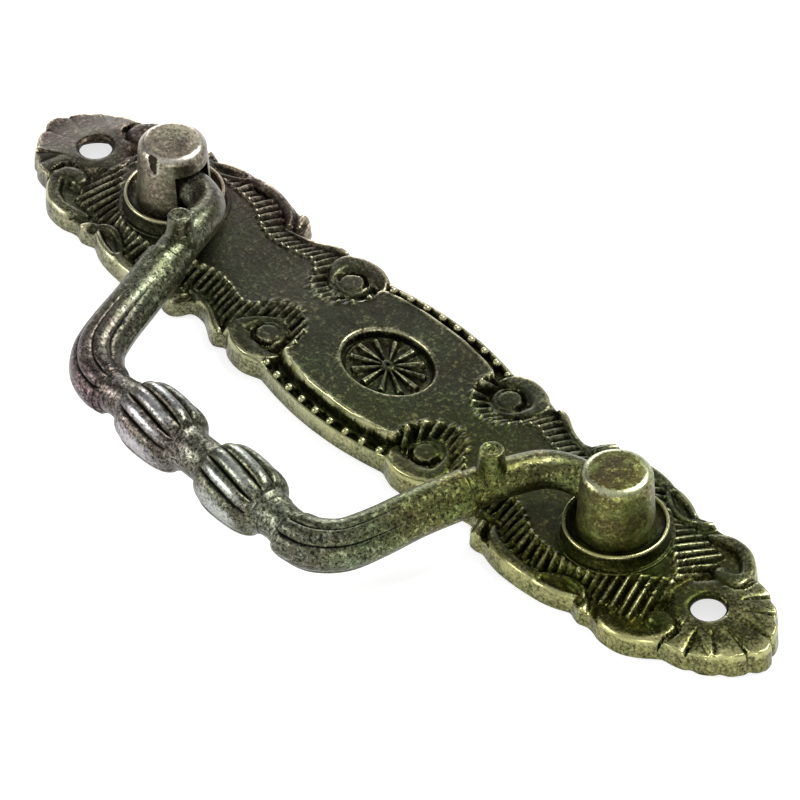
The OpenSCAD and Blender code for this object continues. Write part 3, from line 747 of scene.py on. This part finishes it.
def bead_profile(x):
    """Radius of the grip and depth of its flutes, by distance along it."""
    d = np.abs(np.abs(x) - BEAD_X)
    neck = NECK_R + (BEAD_FOOT_R - NECK_R) * np.exp(-(np.maximum(d - 4.0, 0) / 0.9) ** 2)
    swell = np.clip(1 - (d / BEAD_HALF) ** 2.8, 0, 1) ** 0.55
    radius = neck + (BEAD_R - neck) * swell
    return radius, 0.62 * (radius - neck)


def bail_line():
    """Rings from the right post to the left: x, y, z, radius, groove depth, grip share, twist."""
    arm = curve_through(HALF_BAIL, 8)
    arm = np.column_stack([arm, np.zeros((len(arm), 2))])
    x = np.linspace(GRIP_HALF, -GRIP_HALF, GRIP_RINGS)
    radius, depth = bead_profile(x)
    rise = GRIP_Z - 0.05 * smooth_step(8, 12.8, np.abs(x))
    d = np.abs(x) - BEAD_X
    twist = BEAD_TWIST * np.sign(x) * d * (1 - smooth_step(4.0, 5.6, np.abs(d)))
    grip = np.column_stack([x, np.full(len(x), GRIP_Y), rise, radius, depth, np.ones(len(x)), twist])
    other = arm[::-1] * (-1, 1, 1, 1, 1, 1, 1)
    return np.vstack([arm, grip, other])


def lobed(theta, grooves, sharp):
    """1 on the crest of each lobe and 0 in the grooves between them."""
    edges = np.array(grooves + (grooves[0] + 360,), float)
    turned = (theta - edges[0]) % 360 + edges[0]
    k = np.clip(np.searchsorted(edges, turned, "right") - 1, 0, len(edges) - 2)
    u = (turned - edges[k]) / (edges[k + 1] - edges[k]) * 2 - 1
    return np.clip(1 - np.abs(u) ** sharp, 0, 1) ** 0.5


def bail_mesh():
    """The tube of the bail: rings square to its centre line, fluted on beads and elbows, with a fine seam."""
    rows = bail_line()
    centre = rows[:, :3] + (0, 0, PIVOT_Z)
    ahead = np.gradient(centre, axis=0)
    ahead /= np.linalg.norm(ahead, axis=1)[:, None]
    outside = np.cross((0, 0, 1.0), ahead)
    outside /= np.linalg.norm(outside, axis=1)[:, None]
    up = np.cross(ahead, outside)
    theta = np.arange(RING_SIDES) * 360 / RING_SIDES
    beads = lobed(theta, BEAD_GROOVES, 2.2)
    elbows = lobed(theta, ELBOW_GROOVES, 2.4)
    seam = SEAM * np.exp(-((np.abs((theta + 180) % 360 - 180) - 90) / 3.2) ** 2)
    share = rows[:, 5:6]
    lobe = share * beads + (1 - share) * elbows
    radius = rows[:, 3:4] - rows[:, 4:5] * (1 - lobe) + seam * (1 - share) * (rows[:, 3:4] > 2.6)
    a = np.radians(theta + rows[:, 6:7])[..., None]
    points = centre[:, None] + radius[..., None] * (np.cos(a) * up[:, None] + np.sin(a) * outside[:, None])
    return skinned(points)


# The stop peg on each arm.
PEG_X = 26.7
PEG_Y = -8.35
PEG_R = 2.05
PEG_RIM_R = 1.16


def peg_profile():
    """The stop peg flares where it leaves the arm and ends in a small ringed dimple."""
    top = PEG_TOP
    flare = [(0, 8.6), (PEG_R, 8.6), (PEG_R, 10.2), (1.86, 10.75), (1.68, 11.4), (1.56, 12.1), (1.5, 12.7),
             (1.43, 13.2)]
    rim = arc(PEG_RIM_R, top - 0.27, 0.26, 5, 85, 7)
    dimple = [(0.85, top), (0.74, top - 0.05), (0.6, top - 0.06), (0.48, top - 0.02), (0.38, top - 0.06),
              (0.3, top - 0.3), (0, top - 0.36)]
    return flare + rim + dimple


def cast_bail():
    """The bail: its tube, and a bevelled pin and a stop peg at each end."""
    bail = new_piece("cast_bail", *bail_mesh())
    pin_profile = [(0, 0), (PIN_R, 0), (PIN_R, PIN_LENGTH - PIN_BEVEL), (PIN_R - PIN_BEVEL, PIN_LENGTH),
                   (0, PIN_LENGTH)]
    for side in (-1, 1):
        pin = new_piece("pin", *lathe(pin_profile, sides=48))
        lay_in_post(pin, side, PIN_START)
        combine(bail, pin, "UNION")
        peg = new_piece("peg", *lathe(peg_profile(), (side * PEG_X, PEG_Y), 64))
        combine(bail, peg, "UNION")
    shade(bail, 55)
    return bail


def post_profile():
    """A post turned from its spread end behind the plate up to its rounded top."""
    foot = [(0, SPREAD_Z[0]), (SPREAD_R, SPREAD_Z[0]), (SPREAD_R, SPREAD_Z[1]), (SPIGOT_R, SPREAD_Z[1]),
            (SPIGOT_R, DISH_Z), (POST_FOOT_R, DISH_Z)]
    round_z = POST_TOP - POST_ROUND_R
    side = [(POST_FOOT_R - POST_TAPER * t, DISH_Z + (round_z - DISH_Z) * t)
            for t in np.linspace(0.12, 0.94, 8)]
    shoulder = arc(POST_FOOT_R - POST_TAPER - POST_ROUND_R, round_z, POST_ROUND_R, 2, 90, 14)
    face = [(r, POST_TOP) for r in (2.0, 1.3, 0.6, 0)]
    return foot + side + shoulder + face


def set_post(name, side, pits):
    """A post with its slot and bore turned towards the middle of the plate, and a blow hole if it has one."""
    post = new_piece(name, *lathe(post_profile(), (side * POST_X, 0), 112))
    wall = side * (POST_X - SLOT_BACK)
    outer = side * (POST_X - POST_FOOT_R - 1)
    left, right = sorted((wall, outer))
    slot = [(left, -SLOT_HALF), (right, -SLOT_HALF), (right, SLOT_HALF), (left, SLOT_HALF)]
    combine(post, new_piece("slot", *prism(slot, SLOT_FOOT, PIVOT_Z + SLOT_RISE)), "DIFFERENCE")
    bore = new_piece("bore", *lathe(rod(PIN_R + PIN_CLEARANCE, 0, BORE_LENGTH), sides=48))
    lay_in_post(bore, side, SLOT_BACK + BORE_LEAD)
    combine(post, bore, "DIFFERENCE")
    for x, y, z, across, up in pits:
        bpy.ops.mesh.primitive_uv_sphere_add(segments=20, ring_count=12, radius=1, location=(0, 0, 0))
        flaw = bpy.context.object
        flaw.data.transform(Matrix.Translation((x * MM, y * MM, z * MM))
                            @ Matrix.Diagonal((across * MM, across * MM, up * MM, 1)))
        combine(post, flaw, "DIFFERENCE")
    shade(post, 40)
    return post


def mark_wear_and_sheen(piece, exposed):
    """Stores how exposed each point is: above 0 on edges that hands rub and on painted highlights and
    reflections, below 0 in the recesses.
    """
    layer = piece.data.attributes.new("wear_and_sheen", "FLOAT", "POINT")
    layer.data.foreach_set("value", np.ascontiguousarray(exposed, dtype=np.float32))


def points_of(piece):
    """A piece's points in millimetres."""
    co = np.zeros(len(piece.data.vertices) * 3, np.float32)
    piece.data.vertices.foreach_get("co", co)
    return co.reshape(-1, 3).astype(float) / MM


def blurred(grid, sigma):
    """A grid smoothed in both directions over sigma cells."""
    reach = int(3 * sigma) + 1
    kernel = np.exp(-0.5 * (np.arange(-reach, reach + 1) / sigma) ** 2)
    kernel /= kernel.sum()

    def blurred_row(row):
        return np.convolve(np.pad(row, reach, "edge"), kernel, "valid")

    for axis in (0, 1):
        grid = np.apply_along_axis(blurred_row, axis, grid)
    return grid


# Cell and margin of the raster for how worn the plate is, how often its empty cells are filled from their
# neighbours, how much lighter the plate's flank is painted, a painted reflection of the bright floor, and how
# many points of the bail are measured at a time.
WEAR_CELL = 0.14
WEAR_MARGIN = 3
WEAR_FILLS = 7
FLANK_PAINTED_REFLECTION = 0.22
WEAR_BLOCK = 4000


def stands_over(x, y, z):
    """How far each point stands over the casting round it, by a raster of the plate's upper surface."""
    nx, ny = (int(2 * (half + WEAR_MARGIN) / WEAR_CELL) for half in (HALF_LENGTH, HALF_WIDTH))
    ix = np.clip(((x + HALF_LENGTH + WEAR_MARGIN) / WEAR_CELL).astype(int), 0, nx - 1)
    iy = np.clip(((y + HALF_WIDTH + WEAR_MARGIN) / WEAR_CELL).astype(int), 0, ny - 1)
    grid = np.full((nx, ny), -1.0)
    np.maximum.at(grid, (ix, iy), z)
    for _ in range(WEAR_FILLS):
        wider = grid.copy()
        for shift, axis in ((1, 0), (-1, 0), (1, 1), (-1, 1)):
            moved = np.roll(grid, shift, axis)
            wider = np.where((grid < 0) & (moved > wider), moved, wider)
        grid = wider
    known = (grid > 0).astype(float)
    near, wide = (blurred(grid * known, sigma / WEAR_CELL) / (blurred(known, sigma / WEAR_CELL) + 1e-6)
                  for sigma in (0.3, 1.0))
    return 0.8 * (z - near[ix, iy]) + 0.22 * (z - wide[ix, iy])


def plate_wear_and_sheen(piece):
    """How worn the plate is and where light is painted on it: what stands over its surroundings, with the
    crests of the combs and the fans rubbed brighter, a painted highlight with some rubbing along the edge and
    the lips of the collars, the flank painted lighter as a painted reflection, the right fan lighter still as
    painted light, and the dishes dull."""
    x, y, z = points_of(piece).T
    abs_x, abs_y = np.abs(x), np.abs(y)
    exposed = stands_over(x, y, z)
    _, inside = edge_limit(abs_x, abs_y)
    crests = ridge_crests(abs_x, abs_y) * smooth_step(2.3, 2.6, z)
    exposed = np.where(crests > 0.05, np.maximum(exposed, 0.3 * crests - 0.03), exposed)
    # A painted highlight, with some rubbing, along the top of the rounded shoulder.
    lip = 0.52 * np.exp(-((inside - 0.34) / 0.22) ** 2) * smooth_step(1.8, 2.5, z)
    # The flank is painted lighter all along: a painted reflection of the bright floor.
    flank = (1 - smooth_step(0.12, 0.3, inside)) * (z < 3.2)
    exposed = np.maximum(exposed, lip) * (1 - flank) + np.maximum(FLANK_PAINTED_REFLECTION, lip) * flank
    # The fans are rubbed a little lighter, and the right one is painted much lighter still: painted light on
    # that end.
    exposed = exposed + (0.03 + 0.1 * (x > 0)) * smooth_step(50.5, 53, abs_x) * (inside > 0.6)
    from_post = np.hypot(abs_x - POST_X, y)
    on_collar = (from_post < COLLAR_R + 0.8) & (z > FIELD_Z + 0.1)
    # A painted highlight, with some rubbing, along the collar's rolled lip.
    collar_lip = 0.42 * np.exp(-((from_post - COLLAR_R + 0.2) / 0.28) ** 2) * (z > COLLAR_Z - 0.35)
    in_dish = from_post < COLLAR_R - 0.5
    return np.where(on_collar, collar_lip + np.where(in_dish, -0.1, 0.07), exposed)


def bail_wear_and_sheen(piece):
    """Depth of each point below the crests of the lobes round it, with the grip painted lighter, partly as
    rubbing by hands and partly as a painted highlight.
    """
    p = points_of(piece)
    x, y, z = p.T
    rows = bail_line()
    centre = rows[:, :3] + (0, 0, PIVOT_Z)
    exposed = np.zeros(len(p))
    for start in range(0, len(p), WEAR_BLOCK):
        block = p[start:start + WEAR_BLOCK]
        gap = np.linalg.norm(block[:, None] - centre[None], axis=2)
        near = gap.argmin(1)
        exposed[start:start + WEAR_BLOCK] = gap[np.arange(len(block)), near] - rows[near, 3]
    from_peg = np.hypot(np.abs(x) - PEG_X, y - PEG_Y)
    on_peg = (from_peg < PEG_R + 0.15) & (z > PIVOT_Z + 2.6)
    rim = np.exp(-((from_peg - 1.15) / 0.3) ** 2) * (z > PEG_TOP - 0.5)
    exposed = np.where(on_peg, 0.02 + 0.12 * rim, exposed)
    # The grip, most of all its beads, is painted lighter: rubbing by hands, and a painted highlight.
    bead = np.exp(-((np.abs(x) - BEAD_X) / 3.4) ** 4)
    handled_and_sheen = (0.12 + 0.19 * bead) * smooth_step(-20, -26, y)
    return np.where(exposed > -0.02, np.where(on_peg, exposed, handled_and_sheen), exposed * 1.1 + handled_and_sheen)


def post_wear_and_sheen(piece, side, pits):
    """A rubbed shoulder with a painted highlight, a top painted darker as painted shade, a dark foot, and
    dark pits with a light rim.
    """
    x, y, z = points_of(piece).T
    r = np.hypot(x - side * POST_X, y)
    shoulder = np.exp(-((r - 3.5) / 0.4) ** 2) * (z > POST_TOP - 1.2)
    foot = -0.35 * (1 - smooth_step(DISH_Z, DISH_Z + 0.6, z))
    top = (z > POST_TOP - 0.02) & (r < 2.6)
    wall = POST_FOOT_R - POST_TAPER * (z - DISH_Z) / (POST_TOP - POST_ROUND_R - DISH_Z)
    # The top is painted darker, a painted shade, and the shoulder ring lighter, rubbing with a painted
    # highlight.
    exposed = np.where(top, -0.19, 0.08) + 0.28 * shoulder + foot
    for cx, cy, cz, across, up in pits:
        away = np.sqrt(((x - cx) / across) ** 2 + ((y - cy) / across) ** 2 + ((z - cz) / up) ** 2)
        exposed += 0.1 * np.exp(-((away - 1.5) / 0.35) ** 2)
        exposed = np.where((away < 1.15) & (r < wall - 0.06), -0.6, exposed)
    return exposed


# What value_node sets on a node itself and not on an input.
NODE_SETTINGS = ("operation", "blend_type", "data_type", "interpolation_type")


def value_node(nodes, links, kind, **inputs):
    """A shader node. Settings are given by name, inputs by name or number, as values or sockets."""
    node = nodes.new(kind)
    for name, value in inputs.items():
        if name in NODE_SETTINGS:
            setattr(node, name, value)
            continue
        socket = node.inputs[int(name[1:])] if name[0] == "_" else node.inputs[name.replace("_", " ")]
        if isinstance(value, bpy.types.NodeSocket):
            links.new(value, socket)
        else:
            socket.default_value = value
    return node


def graded(nodes, links, place, tones):
    """A colour that runs through rows of place on the ramp and colour."""
    ramp = nodes.new("ShaderNodeValToRGB")
    stops = ramp.color_ramp.elements
    for stop, (position, tone) in zip((stops[0], stops[1]), (tones[0], tones[-1])):
        stop.position = position
        stop.color = (*tone, 1)
    for position, tone in tones[1:-1]:
        stops.new(position).color = (*tone, 1)
    links.new(place, ramp.inputs[0])
    return ramp.outputs[0]


# The patina's colour drifts at random, and over it a colour cast of the light is painted: purple-brown and
# lighter at the left end and at the rear, olive-green at the right and the front. Rows are place on the ramp
# and tint.
TINTS = ((0.06, (0.92, 0.8, 0.88)), (0.3, (0.78, 0.86, 0.74)), (0.6, (0.73, 0.92, 0.6)),
         (1.0, (0.81, 0.94, 0.34)))
# How the place on the ramp moves with each metre: along the plate, across it as far as its front edge,
# and back again from there to the grip.
TINT_START = 0.225
TINT_ALONG = 7.2
TINT_FRONT = -18.0
TINT_GRIP = 24.0
FRONT_EDGE_Y = -0.012


def patina_group():
    """Antique bronze on a zinc casting: dark recesses, a speckled field, rubbed edges with painted highlights
    and painted reflections, and a painted colour cast of the light.
    """
    group = bpy.data.node_groups.new("antique_patina", "ShaderNodeTree")
    face = group.interface
    for name in ("Wear_and_sheen", "Rubbed", "Speckle", "Dirt"):
        face.new_socket(name, in_out="INPUT", socket_type="NodeSocketFloat")
    for name in ("Recess", "Field", "Fleck", "Edge"):
        face.new_socket(name, in_out="INPUT", socket_type="NodeSocketColor")
    for name, kind in (("Color", "Color"), ("Roughness", "Float"), ("Normal", "Vector")):
        face.new_socket(name, in_out="OUTPUT", socket_type="NodeSocket" + kind)
    nodes, links = group.nodes, group.links
    given, out = nodes.new("NodeGroupInput").outputs, nodes.new("NodeGroupOutput").inputs

    def make(kind, **inputs):
        return value_node(nodes, links, kind, **inputs)

    def math_of(operation, a, b):
        return make("ShaderNodeMath", operation=operation, _0=a, _1=b).outputs[0]

    def plus(a, b):
        return math_of("ADD", a, b)

    def times(a, b):
        return math_of("MULTIPLY", a, b)

    def swing(value, gain):
        return times(math_of("SUBTRACT", value, 0.5), gain)

    def step(value, low, high):
        return make("ShaderNodeMapRange", interpolation_type="SMOOTHSTEP", Value=value, From_Min=low,
                    From_Max=high).outputs[0]

    def noise(scale, detail, roughness):
        return make("ShaderNodeTexNoise", Vector=place, Scale=scale, Detail=detail,
                    Roughness=roughness).outputs[0]

    def blend(share, a, b, blend_type="MIX"):
        return make("ShaderNodeMix", data_type="RGBA", blend_type=blend_type, _0=share, _6=a, _7=b).outputs[2]

    place = make("ShaderNodeTexCoord").outputs["Object"]
    cloud = noise(70.0, 4.0, 0.6)
    tint = noise(90.0, 4.0, 0.6)
    patches = noise(260.0, 5.0, 0.7)
    mottle = noise(420.0, 4.0, 0.65)
    dots = noise(1700.0, 4.0, 0.75)
    fine = noise(2900.0, 3.0, 0.7)

    # Where the metal is light, from rubbing and from painted highlights and reflections, and where it stays
    # dark, with a ragged edge.
    wear_and_sheen = plus(plus(given["Wear_and_sheen"], swing(mottle, 0.22)), swing(fine, 0.5))
    edge = step(wear_and_sheen, 0.1, 0.42)
    recess = step(wear_and_sheen, -0.03, -0.32)

    # The field: rubbed patches, dirt and flecks that gather in places.
    rubbed = times(plus(step(cloud, 0.4, 0.7), step(patches, 0.45, 0.62)), given["Rubbed"])
    dirt = times(step(fine, 0.52, 0.4), given["Dirt"])
    gathered = plus(times(step(mottle, 0.35, 0.65), 0.8), 0.25)
    flecks = times(times(step(dots, 0.52, 0.63), given["Speckle"]), gathered)
    color = blend(rubbed, given["Field"], given["Fleck"])
    color = blend(dirt, color, given["Recess"])
    color = blend(flecks, color, given["Fleck"])

    # The painted colour cast of the light over the whole handle, with a random drift.
    spot = make("ShaderNodeSeparateXYZ", _0=place).outputs
    front = times(math_of("MAXIMUM", spot["Y"], FRONT_EDGE_Y), TINT_FRONT)
    grip = times(math_of("MINIMUM", plus(spot["Y"], -FRONT_EDGE_Y), 0.0), TINT_GRIP)
    along = plus(times(spot["X"], TINT_ALONG), times(tint, 0.55))
    along = plus(plus(along, plus(front, grip)), TINT_START)
    tones = graded(nodes, links, along, TINTS)
    tinted = blend(1.0, color, tones, "MULTIPLY")
    field = make("ShaderNodeHueSaturation", Color=tinted, Saturation=1.2, Hue=plus(swing(patches, 0.24), 0.5))
    color = blend(times(edge, 0.85), field.outputs[0], blend(0.6, given["Edge"], tones, "MULTIPLY"))
    color = blend(times(recess, 0.9), color, given["Recess"])
    links.new(color, out["Color"])

    rough = math_of("SUBTRACT", plus(times(mottle, 0.26), 0.24), times(edge, 0.1))
    links.new(plus(rough, times(recess, 0.2)), out["Roughness"])

    skin = plus(plus(times(fine, 0.35), times(dots, 0.35)), times(mottle, 1.2))
    bump = make("ShaderNodeBump", Height=skin, Strength=0.5, Distance=0.00009)
    links.new(bump.outputs[0], out["Normal"])
    return group


# Colours and shares that each finish gives to the patina. Edge is the colour of rubbed metal and also of the
# painted highlights and reflections.
DARK_BRONZE = {"Recess": (0.003, 0.005, 0.003), "Field": (0.028, 0.025, 0.017), "Fleck": (0.19, 0.165, 0.12),
               "Edge": (0.48, 0.43, 0.3), "Rubbed": 0.05, "Speckle": 0.6, "Dirt": 0.6}
WORN_BRONZE = {"Recess": (0.008, 0.009, 0.009), "Field": (0.09, 0.078, 0.066), "Fleck": (0.44, 0.39, 0.37),
               "Edge": (0.56, 0.545, 0.57), "Rubbed": 0.08, "Speckle": 0.9, "Dirt": 0.9}
POST_BRONZE = {"Recess": (0.018, 0.013, 0.007), "Field": (0.078, 0.062, 0.048), "Fleck": (0.47, 0.41, 0.35),
               "Edge": (0.6, 0.56, 0.5), "Rubbed": 0.3, "Speckle": 0.8, "Dirt": 0.5}


def patina(name, group, values):
    """A finish: the patina with its own values, over a metal."""
    m = bpy.data.materials.new(name)
    m.use_nodes = True
    nodes, links = m.node_tree.nodes, m.node_tree.links
    shader = nodes["Principled BSDF"]
    shader.inputs["Metallic"].default_value = 0.95
    wear_and_sheen = nodes.new("ShaderNodeAttribute")
    wear_and_sheen.attribute_name = "wear_and_sheen"
    coat = nodes.new("ShaderNodeGroup")
    coat.node_tree = group
    links.new(wear_and_sheen.outputs["Fac"], coat.inputs["Wear_and_sheen"])
    for socket, value in values.items():
        coat.inputs[socket].default_value = (*value, 1) if isinstance(value, tuple) else value
    for output, socket in (("Color", "Base Color"), ("Roughness", "Roughness"), ("Normal", "Normal")):
        links.new(coat.outputs[output], shader.inputs[socket])
    return m


def dress(piece, material, wear_and_sheen):
    """Gives a piece its finish, and how worn it is and where light is painted on it."""
    piece.data.materials.clear()
    piece.data.materials.append(material)
    mark_wear_and_sheen(piece, wear_and_sheen)


# A blow hole in the left post's casting, as four pits that meet: x, y, z, half width, half height.
BLOW_HOLE = [(-37.05, -4.0, 12.9, 0.6, 0.75), (-36.8, -4.1, 12.1, 0.55, 0.8), (-37.5, -3.8, 13.1, 0.4, 0.4),
             (-36.55, -4.15, 11.4, 0.4, 0.5)]

coat = patina_group()
plate_finish = patina("dark_bronze", coat, DARK_BRONZE)
bail_finish = patina("worn_bronze", coat, WORN_BRONZE)
post_finish = patina("post_bronze", coat, POST_BRONZE)

backplate = cast_backplate()
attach(backplate, "plate")
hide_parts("backplate")
dress(backplate, plate_finish, plate_wear_and_sheen(backplate))
bail = cast_bail()
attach(bail, "bail")
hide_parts("bail")
dress(bail, bail_finish, bail_wear_and_sheen(bail))
for name, side, pits in (("left_post", -1, BLOW_HOLE), ("right_post", 1, [])):
    post = set_post("turned_" + name, side, pits)
    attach(post, "plate")
    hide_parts(name)
    dress(post, post_finish, post_wear_and_sheen(post, side, pits))


FLOOR_Z = -0.0002


def stage_floor():
    """A pale floor just under the plate. Its glow makes it nearly white, and it keeps the handle's shadow."""
    bpy.ops.mesh.primitive_plane_add(size=6, location=(0, 0, FLOOR_Z))
    floor = bpy.context.object
    floor.name = "floor"
    m = bpy.data.materials.new("floor_white")
    m.use_nodes = True
    paper = m.node_tree.nodes["Principled BSDF"]
    paper.inputs["Base Color"].default_value = (0.45, 0.45, 0.45, 1)
    paper.inputs["Roughness"].default_value = 0.9
    paper.inputs["Specular IOR Level"].default_value = 0.1
    paper.inputs["Emission Color"].default_value = (1, 1, 1, 1)
    paper.inputs["Emission Strength"].default_value = 0.72
    floor.data.materials.append(m)


# The photograph's camera: place and aim in metres, roll in degrees, focal length and width of the picture
# in pixels, width of the sensor in millimetres.
CAMERA_AT = Vector((0.35124, -0.30804, 0.43103))
CAMERA_AIM = Vector((0.0027865, -0.00067505, 0.0))
CAMERA_ROLL = -0.6063
PHOTO_FOCUS = 5507.42
PHOTO_WIDTH = 800
SENSOR = 36.0


def photo_camera():
    """The camera that sees the handle as the photograph does."""
    camera = bpy.data.objects.new("camera", bpy.data.cameras.new("camera"))
    bpy.context.scene.collection.objects.link(camera)
    back = (CAMERA_AT - CAMERA_AIM).normalized()
    right = Vector((0, 0, 1)).cross(back).normalized()
    up = back.cross(right)
    turn = math.radians(CAMERA_ROLL)
    across = right * math.cos(turn) + up * math.sin(turn)
    up = up * math.cos(turn) - right * math.sin(turn)
    axes = Matrix((across, up, back)).transposed().to_4x4()
    camera.matrix_world = Matrix.Translation(CAMERA_AT) @ axes
    camera.data.sensor_width = SENSOR
    camera.data.lens = PHOTO_FOCUS / PHOTO_WIDTH * SENSOR
    camera.data.clip_start = 0.01
    bpy.context.scene.camera = camera


# Square lamps, each aimed at the middle of the plate: name, place, size and power in watts.
LAMPS = (("overhead", (0.08, 0.47, 0.7), 0.4, 8), ("front", (0.75, -0.75, 0.35), 0.4, 3),
         ("back", (-0.7, 0.5, 0.3), 0.4, 3), ("left", (-0.5, -0.6, 0.42), 0.45, 4))


def hang_lamp(name, place, size, power):
    """A square lamp that points at the middle of the plate."""
    data = bpy.data.lights.new(name, "AREA")
    data.shape = "SQUARE"
    data.size = size
    data.energy = power
    lamp = bpy.data.objects.new(name, data)
    bpy.context.scene.collection.objects.link(lamp)
    lamp.location = place
    lamp.rotation_euler = (-Vector(place)).to_track_quat("-Z", "Y").to_euler()


# Brightness of the room by height, behind the handle and in front of it. Rows are sine of the elevation
# and level. The share of the front grows with x - y of the direction, between the two values of
# FRONT_SHARE.
BACK_WALL = ((0.1, 1.0), (0.28, 0.4), (0.45, 0.14), (0.74, 0.14), (0.88, 0.6), (1.0, 0.9))
FRONT_WALL = ((0.1, 1.0), (0.28, 0.85), (0.45, 0.75), (0.74, 0.75), (0.88, 0.8), (1.0, 0.9))
FRONT_SHARE = (-0.2, 0.8)


def studio_room():
    """A white room with a bright ceiling and a grey band high on its walls, darker behind the handle."""
    world = bpy.data.worlds.new("room")
    bpy.context.scene.world = world
    world.use_nodes = True
    nodes, links = world.node_tree.nodes, world.node_tree.links

    def wall(levels):
        return graded(nodes, links, facing["Z"], [(height, (level,) * 3) for height, level in levels])

    toward = nodes.new("ShaderNodeTexCoord").outputs["Generated"]
    facing = value_node(nodes, links, "ShaderNodeSeparateXYZ", _0=toward).outputs
    side = value_node(nodes, links, "ShaderNodeMath", operation="SUBTRACT", _0=facing["X"], _1=facing["Y"])
    front = value_node(nodes, links, "ShaderNodeMapRange", interpolation_type="SMOOTHSTEP",
                       Value=side.outputs[0], From_Min=FRONT_SHARE[0], From_Max=FRONT_SHARE[1])
    walls = value_node(nodes, links, "ShaderNodeMix", data_type="RGBA", _0=front.outputs[0],
                       _6=wall(BACK_WALL), _7=wall(FRONT_WALL))
    links.new(walls.outputs[2], nodes["Background"].inputs["Color"])


stage_floor()
photo_camera()
studio_room()
for lamp_values in LAMPS:
    hang_lamp(*lamp_values)
bpy.context.scene.view_settings.view_transform = "Standard"
